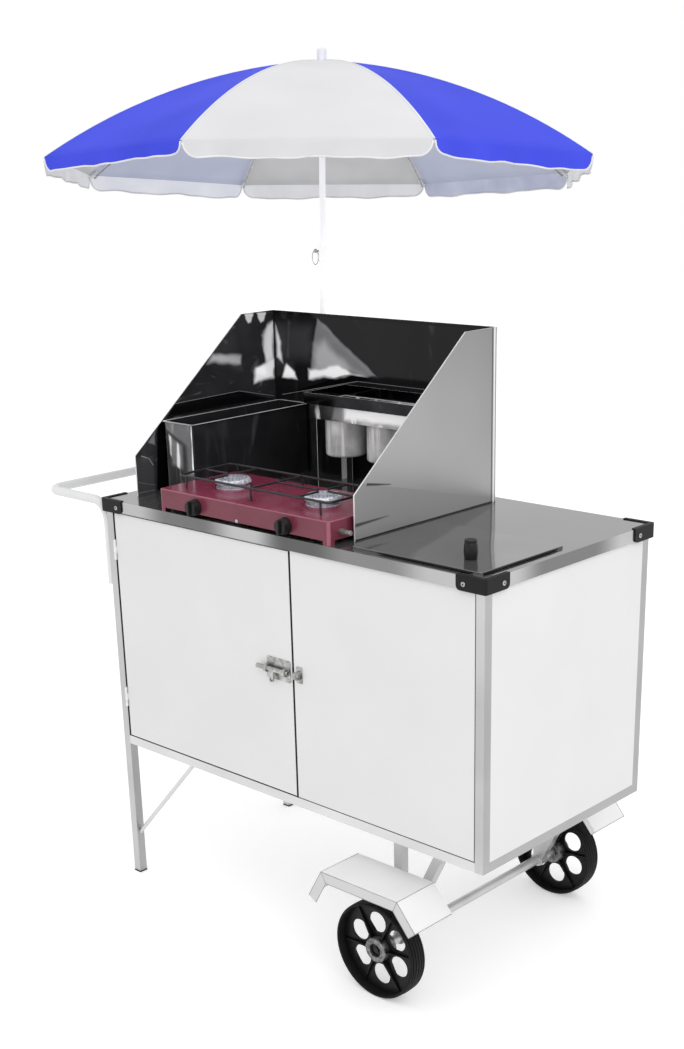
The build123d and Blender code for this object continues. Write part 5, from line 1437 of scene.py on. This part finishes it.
    def shadow_gap(self) -> None:
        """Painted shadow under the lid's rim: a flat black strip carried round the lid's rounded outline.

        The outline is a quarter circle at each corner, with 15 points between each two neighbours, and points
        less than 1 mm apart are left out. The strip is thin along the lid's left and rear edges.
        """
        low, high = box("lid")
        corner = self.shadow_gap_corner * MM
        angle = np.linspace(0, np.pi / 2, 7)
        arcs = []
        for turn, signs in enumerate(((1, 1), (-1, 1), (-1, -1), (1, -1))):
            inward = np.where(np.array(signs) > 0, high[:2], low[:2]) - corner * np.array(signs)
            arcs.append(inward + corner * spokes(angle + turn * np.pi / 2))
        corners = np.concatenate(arcs)
        share = np.linspace(0, 1, 17)[1:-1, None, None]
        between = (corners + share * (np.roll(corners, -1, axis=0) - corners)).transpose(1, 0, 2)
        flat = np.concatenate([corners[:, None], between], 1).reshape(-1, 2)
        flat = flat[np.linalg.norm(np.roll(flat, -1, axis=0) - flat, axis=1) > 1.0 * MM]
        path = np.column_stack([flat, np.full(len(flat), CORNER[2] + self.shadow_gap_level * MM)])
        out = np.cross(run_of(path, loop=True), UP)
        outline = round_outline(self.shadow_gap_half, 10, self.shadow_gap_flat) + (self.shadow_gap_out * MM, 0.0)
        from_edges = np.stack([path[:, 0] - low[0], high[1] - path[:, 1]]) / MM
        start, whole = np.array(self.shadow_gap_grow).T[..., None]
        grown = ((from_edges - start) / (whole - start)).min(0)
        share = np.clip(grown, self.shadow_gap_least, 1.0)[:, None]
        surface = Surface().add(*carried(path, out * share, share * UP, outline, loop=True))
        recalculate(surface.piece("lid_shadow_gap", "lid", "black_plastic", (SHADOW_BLACK,)))

    @staticmethod
    def guard_corners() -> tuple[np.ndarray, np.ndarray, list]:
        """The corners that the guards sit on.

        Returns:
            The low and the high corner of their box, and x, y and the two signs of the ways inwards of each.
        """
        low, high = box("corner_guards")
        sides = [[(low[axis], 1), (high[axis], -1)] for axis in (0, 1)]
        return low, high, [(x, y, to_x, to_y) for x, to_x in sides[0] for y, to_y in sides[1]]

    def guards(self) -> None:
        """Moulded corner guards: an angle section carried round each corner of the worktop.

        A station at distance s from the corner has its wall from the outer face inwards and its lip on top.
        The lower edge rises in a quarter circle at the two ends, and the lip meets in a mitre at the corner.
        """
        low, high, corners = self.guard_corners()
        bend, lip, wall = self.guard_bend, self.guard_lip, self.guard_wall
        from_end = np.array((0.0, 0.7, 2.6, 5.4, self.guard_round))
        reach = np.concatenate([self.guard_arm - from_end, [lip + 1.0, bend]])
        still = np.zeros(len(reach))
        swing = np.radians((18, 36, 54, 72))
        along = np.concatenate([reach, bend * (1 - np.sin(swing)), still])
        away = np.concatenate([still, bend * (1 - np.cos(swing)), reach[::-1]])
        turn = np.concatenate([still, swing, still + np.pi / 2])
        end = np.minimum(self.guard_arm - np.maximum(along, away), self.guard_round)
        lift = self.guard_round - np.sqrt(self.guard_round**2 - (self.guard_round - end) ** 2)
        top = np.full(len(turn), (high[2] - low[2]) / MM)
        level = np.stack([lift, top, top, top - self.lip_depths[0], top - self.lip_depths[1], lift], 1)
        inward = np.array((0.0, 0.0, lip, lip, wall, wall))
        mitre = np.where(inward > bend, inward, 0.0)
        across_x = np.maximum(along[:, None] + inward * np.sin(turn)[:, None], mitre)
        across_y = np.maximum(away[:, None] + inward * np.cos(turn)[:, None], mitre)
        sides = len(inward)
        last = (len(turn) - 1) * sides
        faces = quads(len(turn), sides, loop=True).tolist()
        faces += [list(range(sides)), list(range(last + sides - 1, last - 1, -1))]
        surface = Surface()
        for x, y, to_x, to_y in corners:
            places = [x + to_x * across_x * MM, y + to_y * across_y * MM, low[2] + level * MM]
            surface.add(np.stack(places, -1), faces)
        piece = surface.piece("moulded_guards", "cart", "black_plastic", (GUARD_PLASTIC,))
        recalculate(piece, merge=True)
        piece.modifiers.new("edges", "EDGE_SPLIT").split_angle = math.radians(40)
        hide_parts("corner_guards")

    def rivets(self) -> None:
        """Domed rivet heads on the guards: the same turned dome at each place, with a black hole of painted
        shade.
        """
        low, high, corners = self.guard_corners()
        inset = self.rivet_inset * MM
        level = low[2] + self.rivet_level * (high[2] - low[2])
        spots = []
        for x, y, to_x, to_y in corners:
            spots.append(((x + to_x * inset, y, level), (0.0, -to_y, 0.0)))
            spots.append(((x, y + to_y * inset, level), (-to_x, 0.0, 0.0)))
        self.heads("guard_rivets", "cart", spots, self.rivet_radius)
        hole = np.array(self.hole) * self.rivet_radius * MM
        surface = Surface()
        for point, way in spots:
            surface.add(*turned(hole, point, way, 14))
        surface.piece("rivet_holes", "cart", "black_plastic", (SHADOW_BLACK,))

    def heads(self, name: str, body: str, spots: Sequence, radius: float) -> None:
        """Rivet or screw heads with a dimple: a turned dome at each spot, all one piece.

        Args:
            name: the piece's name.
            body: the body that it rides on.
            spots: pairs of a point and the way that the head looks.
            radius: the head's radius in millimetres.
        """
        surface = Surface()
        for point, way in spots:
            surface.add(*turned(np.array(self.dome) * radius * MM, point, way, 18))
        surface.piece(name, body, "zinc_steel", (ZINC,))


@dataclass(frozen=True)
class Stove:
    """The stove's small parts: the ported burner rings, dark discs of painted shade for the holes in their
    tops, and the screw in the front.

    Attributes:
        centres: the burners' places along the cart.
        setback: their place from the cart's front.
        ports: flame ports round a ring.
        cap_top: level of the burners' flat tops.
        circles: radius and number of holes of each circle in a top.
        disc: a hole's profile, rows of radius and height.
        ring: rows of radius, level and how deep the ports cut, up a ring's outside.
        screw, screw_radius: the screw's place and its head's radius.
    """

    centres: tuple[float, float] = (304.5, 565.5)
    setback: float = 100.0
    ports: int = 36
    cap_top: float = 967.0
    circles: tuple[tuple[float, int], ...] = ((29.0, 24), (21.0, 16), (12.0, 8))
    disc: Rows = ((1.7, -0.4), (1.7, 0.1), (0.2, 0.12))
    ring: Rows = (
        (36.9, 957.6, 0.0), (37.9, 957.8, 0.6), (38.0, 961.0, 0.6), (37.2, 962.6, 0.4), (35.6, 963.2, 0.0),
    )
    screw: Point = (425.0, -5.0, 912.0)
    screw_radius: float = 4.0

    def build(self) -> None:
        """Makes the rings, the holes and the screw."""
        for name, x in zip(("left", "right"), self.centres):
            self.port_ring(f"burner_ports_{name}", x)
            self.ports_on_top(f"burner_holes_{name}", x)
        Cabinet().heads("stove_screw", "cart", [(place(*self.screw), -REARWARD)], self.screw_radius)

    def ports_on_top(self, name: str, x: float) -> None:
        """Holes in a burner's flat top, as painted shade: thin dark turned discs on three circles.

        Args:
            name: the piece's name.
            x: the burner's place along the cart.
        """
        surface = Surface()
        for radius, count in self.circles:
            for along, across in radius * spokes(round_steps(count)):
                spot = place(x + along, self.setback + across, self.cap_top)
                surface.add(*turned(np.array(self.disc) * MM, spot, UP, 10))
        surface.piece(name, "cart", "grate_black", (WIRE_AND_HOLE_SHADE_ENAMEL,))

    def port_ring(self, name: str, x: float) -> None:
        """A ring of flame ports: radius r + d clip(3 cos(n a)) carried round, with sloped edges.

        Args:
            name: the piece's name.
            x: the burner's place along the cart.
        """
        angle = round_steps(self.ports * 8)
        tooth = np.clip(3 * np.cos(self.ports * angle), -1, 1)
        rows = np.array(self.ring)
        radius = rows[:, :1] + rows[:, 2:] * tooth
        level = np.broadcast_to(rows[:, 1:2], radius.shape)
        points = np.stack([x + radius * np.cos(angle), self.setback + radius * np.sin(angle), level], -1)
        surface = Surface().add(CORNER + points * MM, quads(len(rows), len(angle), loop=True))
        surface.piece(name, "cart", "burner_alloy", (CAST_ALLOY,))


class End(Enum):
    """The two ends of the axle."""

    FRONT = "front"
    REAR = "rear"


@dataclass(frozen=True)
class Wheel:
    """A moulded wheel: thin grooved tyre, a web with round holes at its middle, ribs and a metal hub.

    Attributes:
        end: the wheel's end of the axle.
        centre_y: middle of the tyre across the cart.
        axle_x, axle_z: the axle's place.
        holes, first_hole: number of holes, and the first one's angle in degrees.
        hole_radius, hole_circle: a hole's radius and the radius of the circle that they stand on.
        web: half the web's thickness.
        hub_radius, bore: the hub's radius and the radius of its hollow.
        outer_hub, inner_hub: how far the hub stands out of the middle on the outside and on the cart's side.
        plug_radius, plug_depth: the hollow of the dark plug in the hub, and how deep it lies.
        rim: inner radius of the tyre.
        sunk: how far the web and the ribs run into the hub and into the tyre.
        rib_half: half a rib's thickness.
        rib_heights: how far a rib stands out of the middle at the hub and at the rim.
        tread: half the tyre's outline from the rim to the middle, rows of radius and place across.
    """

    end: End
    centre_y: float
    axle_x: float = 812.0
    axle_z: float = 102.0
    holes: int = 6
    first_hole: float = -25.0
    hole_radius: float = 22.0
    hole_circle: float = 56.5
    web: float = 2.0
    hub_radius: float = 26.0
    bore: float = 14.5
    outer_hub: float = 16.0
    inner_hub: float = 20.8
    plug_radius: float = 10.4
    plug_depth: float = 4.0
    rim: float = 95.6
    sunk: tuple[float, float] = (2.0, 1.0)
    rib_half: float = 1.4
    rib_heights: tuple[float, float] = (12.0, 5.0)
    tread: Rows = (
        (95.6, 19.8), (96.2, 20.6), (98.6, 20.8), (100.2, 20.0), (101.0, 18.2), (101.1, 15.6), (99.4, 15.2),
        (99.4, 13.6), (101.4, 13.2), (101.6, 8.8), (99.9, 8.4), (99.9, 6.8), (101.8, 6.4), (102.0, 1.2),
        (100.4, 0.9),
    )

    @property
    def centre(self) -> np.ndarray:
        """Middle of the wheel in metres."""
        return place(self.axle_x, self.centre_y, self.axle_z)

    @property
    def reaches(self) -> tuple[float, float]:
        """Inner and outer radius of the web and the ribs."""
        return self.hub_radius - self.sunk[0], self.rim + self.sunk[1]

    def build(self) -> None:
        """Makes the tyre and the wheel in it."""
        self.tyre()
        self.spider()

    def ring(self, outline: np.ndarray, segments: int) -> tuple[np.ndarray, list]:
        """A closed outline turned round the axle: point(a, i) = centre + (r_i cos a, w_i, r_i sin a).

        Args:
            outline: rows of radius and place along the axle in millimetres.
            segments: steps of the turn.

        Returns:
            Vertices and faces.
        """
        ways = spokes(round_steps(segments)) @ np.array(((1.0, 0.0, 0.0), UP))
        return carried(np.tile(self.centre, (segments, 1)), ways, REARWARD, outline * MM, loop=True)

    def level(self, flat: np.ndarray, height: float) -> np.ndarray:
        """Points of the wheel's plane in millimetres, moved along the axle, in metres."""
        return self.centre + np.column_stack([flat[:, 0], np.full(len(flat), height), flat[:, 1]]) * MM

    def tyre(self) -> None:
        """Turns the tyre: bore, flat walls, rounded shoulders and a tread with grooves."""
        half = np.array(self.tread)
        outline = np.concatenate([half, half[::-1] * (1, -1)])
        surface = Surface().add(*self.ring(outline[::-1], 96))
        end = self.end.value
        tyre = recalculate(surface.piece(f"grooved_tyre_{end}", f"wheel_{end}", "tread", (TYRE_RUBBER,)))
        tyre.data.set_sharp_from_angle(angle=math.radians(40))
        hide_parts(f"tyre_{end}")

    def sector(self) -> np.ndarray:
        """A sector of the web round one hole: rays from the hole's middle, from its edge to the border.

        The border is met where the ray first reaches the rim's circle, the hub's circle or one of the two
        straight sides, so s(a) is the least of the four distances and a point is
        c + d(a) (r + (s(a) - r) share).

        Returns:
            Points of a grid, rows from the hole to the border, in millimetres in the wheel's plane.
        """
        half = math.pi / self.holes
        hub, rim = self.reaches
        way = spokes(round_steps(72))
        middle = np.array((self.hole_circle, 0.0))
        along = way @ middle
        outer = -along + np.sqrt(along**2 - self.hole_circle**2 + rim**2)
        under = along**2 - self.hole_circle**2 + hub**2
        inner = np.where((under > 0) & (along < 0), -along - np.sqrt(np.maximum(under, 0)), np.inf)
        sides = np.abs(way[:, 1]) * math.cos(half) - way[:, 0] * math.sin(half)
        side = np.where(sides > 1e-6, self.hole_circle * math.sin(half) / np.maximum(sides, 1e-6), np.inf)
        reach = np.minimum(np.minimum(outer, inner), side)
        share = np.linspace(0, 1, 4)[:, None]
        return middle + way * (self.hole_radius + (reach - self.hole_radius) * share)[..., None]

    def spider(self) -> None:
        """The web from six turned sectors with their hole walls, the ribs between the holes, and the hub."""
        surface = Surface()
        grid = self.sector()
        rows, columns = grid.shape[:2]
        faces = quads(rows, columns, loop=True)
        for number in range(self.holes):
            turn = math.radians(self.first_hole + number * 360 / self.holes)
            spin = np.array(((math.cos(turn), -math.sin(turn)), (math.sin(turn), math.cos(turn))))
            flat = grid.reshape(-1, 2) @ spin.T
            surface.add(self.level(flat, -self.web), faces[:, ::-1])
            surface.add(self.level(flat, self.web), faces)
            walls = np.concatenate([self.level(flat[:columns], height) for height in (-self.web, self.web)])
            surface.add(walls, quads(2, columns, loop=True))
            self.rib(surface, turn + math.pi / self.holes)
        radius, out, inside = self.hub_radius, self.outer_hub, self.inner_hub
        hub = np.array([
            (self.bore, -out), (radius - 1, -out), (radius, 1 - out), (radius, inside - 1),
            (radius - 1, inside), (self.bore, inside),
        ])
        first, last, hollow = self.plug_depth - out, inside - 1, self.plug_radius
        plug = np.array([(hollow, first), (self.bore, first), (self.bore, last), (hollow, last)])
        for outline, slot in ((hub, 1), (plug, 0)):
            if self.end is End.REAR:
                outline = outline[::-1] * (1, -1)
            surface.add(*self.ring(outline, 64), slot=slot)
        finishes = (WHEEL_PLASTIC, HUB_ALLOY)
        end = self.end.value
        piece = surface.piece(f"wheel_spider_{end}", f"wheel_{end}", "wheel_black", finishes)
        piece.data.set_sharp_from_angle(angle=math.radians(40))
        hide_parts(f"wheel_{end}")

    def rib(self, surface: Surface, turn: float) -> None:
        """Adds a thin rib from the hub to the rim, tapered on both sides of the web.

        Args:
            surface: the surface to add to.
            turn: the rib's angle.
        """
        out = np.array((math.cos(turn), 0.0, math.sin(turn)))
        side = np.array((-math.sin(turn), 0.0, math.cos(turn)))
        corners = [
            radius * out + self.rib_half * across * side + height * up * REARWARD
            for radius, height in zip(self.reaches, self.rib_heights)
            for across, up in ((-1, -1), (1, -1), (1, 1), (-1, 1))
        ]
        faces = [(4, 5, 1, 0), (5, 6, 2, 1), (6, 7, 3, 2), (7, 4, 0, 3), (0, 1, 2, 3), (7, 6, 5, 4)]
        surface.add(self.centre + np.array(corners) * MM, faces)


@dataclass(frozen=True)
class Axle:
    """The wheels' axle: a turned shaft with a shoulder inside each wheel, and dark ends inside the hubs.

    Attributes:
        front, rear: the two wheels.
        shaft: radius of the shaft.
        near: half its profile from the end inwards, rows of radius and distance from the wheel's middle.
        segments: steps of its turn.
    """

    front: Wheel
    rear: Wheel
    shaft: float = 10.0
    near: Rows = (
        (0.4, -13.6), (6.0, -13.6), (6.4, -13.2), (6.4, -11.0), (9.4, -11.0), (10.0, -10.4), (10.0, 21.2),
        (16.0, 21.4), (16.0, 23.9), (10.0, 24.1),
    )
    segments: int = 40

    def build(self) -> None:
        """Makes the axle: its ends dark, its shoulders of cast alloy and the rest of turned steel."""
        front, rear = self.front.centre_y, self.rear.centre_y
        near = np.array(self.near)
        profile = np.concatenate([near + (0, front), near[::-1] * (1, -1) + (0, rear)]) * MM
        origin = place(self.front.axle_x, 0.0, self.front.axle_z)
        surface = Surface().add(*turned(profile, origin, REARWARD, self.segments))
        radius, across = np.stack([profile[:-1], profile[1:]]).transpose(2, 0, 1) / MM
        dark = (across.mean(0) < front) | (across.mean(0) > rear)
        slots = np.where(dark, 2, radius.max(0) > self.shaft + 0.5)
        surface.slots = np.concatenate([np.repeat(slots, self.segments), (2, 2)]).tolist()
        finishes = (AXLE_STEEL, HUB_ALLOY, KNOB_PLASTIC)
        axle = recalculate(surface.piece("turned_axle", "cart", "zinc_steel", finishes))
        axle.data.set_sharp_from_angle(angle=math.radians(40))
        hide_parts("axle")


@dataclass(frozen=True)
class Fenders:
    """Folded sheet over the wheels: a flat top, a flap each way and a lip down both sides.

    Attributes:
        crest: the fold line of the outside, along the cart and up, in millimetres.
        spans: for each fender, its outer and inner edge across the cart.
        outer_lip, inner_lip: depth of the lips.
        sheet: the sheet's thickness.
        shade_line: radius of the thin line of painted shade along a fold.
    """

    crest: Rows = ((669.0, 193.0), (705.0, 256.0), (906.0, 257.0), (951.0, 204.0))
    spans: Rows = ((-80.0, 30.0), (625.0, 515.0))
    outer_lip: float = 22.0
    inner_lip: float = 14.0
    sheet: float = 1.5
    shade_line: float = 0.7

    def band(self, depth: float) -> np.ndarray:
        """The crest moved inwards: each point by depth (a + b) / (1 + a.b), a and b its runs' normals.

        Args:
            depth: how far inwards.

        Returns:
            Points along the cart and up, in millimetres.
        """
        crest = np.array(self.crest)
        runs = unit(np.diff(crest, axis=0))
        inward = np.stack([runs[:, 1], -runs[:, 0]], -1)
        before = np.concatenate([inward[:1], inward])
        after = np.concatenate([inward, inward[-1:]])
        return crest + depth * (before + after) / (1 + (before * after).sum(1, keepdims=True))

    def build(self) -> None:
        """Makes the folded sheets, and thin grey lines of painted shade along the folds."""
        surface = Surface()
        lines = Surface()
        for outer, inner in self.spans:
            depths = ((self.outer_lip, outer), (0.0, outer), (0.0, inner), (self.inner_lip, inner))
            grid = np.stack([np.insert(self.band(depth), 1, y, axis=1) for depth, y in depths], 1)
            surface.add(CORNER + grid * MM, quads(4, 4)[:, ::-1] if outer < inner else quads(4, 4))
            for path in (grid[:, 1], grid[1, :], grid[2, :], grid[3, :], grid[:, 0]):
                self.line(lines, CORNER + path * MM)
        # The outer lips take the darker copy of the coat: painted shade
        surface.slots = (np.arange(len(surface.faces)) % 3 == 0).astype(int).tolist()
        folded = surface.piece("folded_fenders", "cart", "white_paint", (LIT_FENDER_COAT, SHADED_LIP_COAT), flat=True)
        thicken(folded, self.sheet)
        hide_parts("fenders")
        recalculate(lines.piece("fender_fold_lines", "cart", "white_paint", (FOLD_SHADE_LINE,)))

    def line(self, surface: Surface, path: np.ndarray) -> None:
        """Adds a thin line of painted shade along a fold: a small round profile carried along each straight
        run.

        Args:
            surface: the surface to add to.
            path: points of the fold in metres.
        """
        for start, end in zip(path, path[1:]):
            way = unit(end - start)
            side = unit(np.cross(way, OBLIQUE))
            both = np.array([start, end])
            surface.add(*carried(both, side, np.cross(way, side), round_outline(self.shade_line, 6)))


@dataclass(frozen=True)
class Dresser:
    """Puts the finishes on the CAD nodes that are seen, by node and by the way that a face looks.

    Attributes:
        plain: finishes of the nodes that have one each.
        square: least share of a normal along an axis for a face that looks along it.
        upright: greatest share of an upright face's normal that looks up or down.
        flat, steep: the same shares for the stove's flat faces and for the start of its bends.
        leg_side: least share of a normal to the right on the side of a warmer leg that takes the painted
            highlight.
        shield_middle: half way between the shield's sides, along the cart.
        trough_front, trough_rim: a place behind the trough's front, and one just under its rim.
        band_foot: lower edge of the warmer's dark band.
    """

    plain: tuple[tuple[Finish, tuple[str, ...]], ...] = (
        (POWDER_COAT, ("side_panels", "front_panel", "floor_panel", "door_panel")),
        (HANDLE_ENAMEL, ("push_handle", "umbrella_holder")),
        (GLOWING_TUBE_ENAMEL, ("pole_lower", "pole_upper")),
        (WORKTOP_STEEL, ("cold_bin",)),
        (LID_STEEL, ("lid",)),
        (POT_STEEL, ("warmer_pots",)),
        (LIT_HINGE_ZINC, ("hinge_post_leaves", "hinge_door_leaves")),
        (BOLT_ZINC, ("bolt_case", "bolt_rod", "bolt_keeper")),
        (FOOT_RUBBER, ("foot_caps",)),
        (KNOB_PLASTIC, ("knob_left", "knob_right")),
        (CAST_ALLOY, ("burners",)),
        (PLATED_PIPE, ("gas_manifold",)),
        (WIRE_AND_HOLE_SHADE_ENAMEL, ("pan_support",)),
        (WHITE_PLASTIC, ("crown", "runner")),
        (ZINC, tuple(f"{kind}_{number}" for number in range(1, 9) for kind in ("rib", "stretcher"))),
    )
    square: float = 0.9
    upright: float = 0.5
    flat: float = 0.97
    steep: tuple[float, float] = (0.2, 0.25)
    leg_side: float = 0.7
    shield_middle: float = 366.0
    trough_front: float = 140.0
    trough_rim: float = 1050.0
    band_foot: float = 1084.5

    def build(self) -> None:
        """Dresses every node."""
        for finish, names in self.plain:
            for name in names:
                self.dress(name, (finish,))
        self.tubes()
        self.worktop()
        self.stove()
        self.shield()
        self.trough()
        self.warmer()

    @staticmethod
    def dress(name: str, finishes: Sequence[Finish], slots: np.ndarray | None = None) -> None:
        """Sets a node's materials.

        Args:
            name: the node.
            finishes: the finishes by material number.
            slots: the material number of each face, or all the first.
        """
        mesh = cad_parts[name].data
        mesh.materials.clear()
        for finish in finishes:
            mesh.materials.append(finish.material())
        numbers = np.zeros(len(mesh.polygons), np.int32) if slots is None else slots.astype(np.int32)
        mesh.polygons.foreach_set("material_index", numbers)
        LOG.info("%s: %s", name, ", ".join(finish.name for finish in finishes))

    @staticmethod
    def faces(name: str) -> tuple[np.ndarray, np.ndarray]:
        """Where the faces of a node lie and how they look.

        Args:
            name: the node.

        Returns:
            Each face's middle in millimetres from the front left foot, and its normal.
        """
        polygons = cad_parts[name].data.polygons
        middle, normal = np.zeros((2, len(polygons) * 3), np.float32)
        polygons.foreach_get("center", middle)
        polygons.foreach_get("normal", normal)
        return (middle.reshape(-1, 3) - CORNER) / MM, normal.reshape(-1, 3)

    def tubes(self) -> None:
        """Drawn tube whose faces that look left or right take the darker copy, as painted shade."""
        tubes = {"frame_posts": DRAWN_ALLOY, "axle_struts": DRAWN_ALLOY, "frame_rails": DRAWN_ALLOY_RAIL}
        for name, finish in tubes.items():
            normal = self.faces(name)[1]
            self.dress(name, (finish, SHADED_ALLOY_SIDE), np.abs(normal[:, 0]) > self.square)

    def worktop(self) -> None:
        """Mirror sheet with brighter folded sides."""
        normal = self.faces("worktop")[1]
        self.dress("worktop", (WORKTOP_STEEL, WORKTOP_FOLD), np.abs(normal[:, 2]) < self.upright)

    def stove(self) -> None:
        """Enamelled tray: a lighter copy on its top, as painted light, and a paler one on its bends, as
        painted highlights.
        """
        normal = np.abs(self.faces("stove_body")[1])
        level, sideways = normal[:, 2], normal[:, 0]
        slots = np.where(level > self.flat, 1, 0)
        slots[(level > self.steep[0]) & (level < self.flat)] = 2
        slots[(level < self.steep[0]) & (sideways > self.steep[1]) & (sideways < self.flat)] = 2
        self.dress("stove_body", (STOVE_ENAMEL, LIT_STOVE_TOP_ENAMEL, STOVE_BEND_HIGHLIGHT), slots)

    def shield(self) -> None:
        """Dark mirror inside and satin outside, with painted reflections, and folded edges with painted
        highlights.
        """
        normal = self.faces("shield_back")[1]
        middle, sideways = self.faces("shield_sides")
        inward = np.where(middle[:, 0] < self.shield_middle, sideways[:, 0], -sideways[:, 0])
        for name, finish, share in (
            ("shield_back", SHIELD_BACK_INSIDE, -normal[:, 1]), ("shield_sides", SHIELD_SIDE_INSIDE, inward),
        ):
            slots = np.where(share > self.square, 0, np.where(share < -self.square, 1, 2))
            self.dress(name, (finish, SHIELD_OUTSIDE, HIGHLIGHT_EDGE), slots)

    def trough(self) -> None:
        """Dark mirror sheet with a lighter front, both with painted reflections, and rims with painted
        highlights.
        """
        middle, normal = self.faces("bread_trough")
        slots = np.zeros(len(normal))
        slots[(normal[:, 1] < -self.square) & (middle[:, 1] < self.trough_front)] = 1
        slots[(normal[:, 2] > self.square) & (middle[:, 2] > self.trough_rim)] = 2
        self.dress("bread_trough", (TROUGH_STEEL, TROUGH_FRONT, HIGHLIGHT_EDGE), slots)

    def warmer(self) -> None:
        """Dark upper band and polished apron with painted reflections, and edges and the legs' right faces
        with painted highlights.
        """
        middle, normal = self.faces("warmer_tray")
        level = np.abs(normal[:, 2])
        slots = np.full(len(normal), 1)
        slots[(middle[:, 2] > self.band_foot) & (level < self.upright)] = 0
        slots[level > self.square] = 2
        self.dress("warmer_tray", (DARK_BAND, WARMER_STEEL, HIGHLIGHT_EDGE), slots)
        right = self.faces("warmer_stand")[1][:, 0]
        self.dress("warmer_stand", (LEG_STEEL, HIGHLIGHT_EDGE), right > self.leg_side)


def main() -> None:
    """Builds the studio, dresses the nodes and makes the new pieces."""
    logging.basicConfig(level=logging.INFO, format="%(name)s %(message)s")
    front, rear = Wheel(End.FRONT, -26.0), Wheel(End.REAR, 566.0)
    parts = (Studio(), Dresser(), Umbrella(), Cabinet(), Stove(), Fenders(), front, rear, Axle(front, rear))
    for part in parts:
        part.build()
    bpy.context.view_layer.update()


if __name__ == "__main__":
    main()
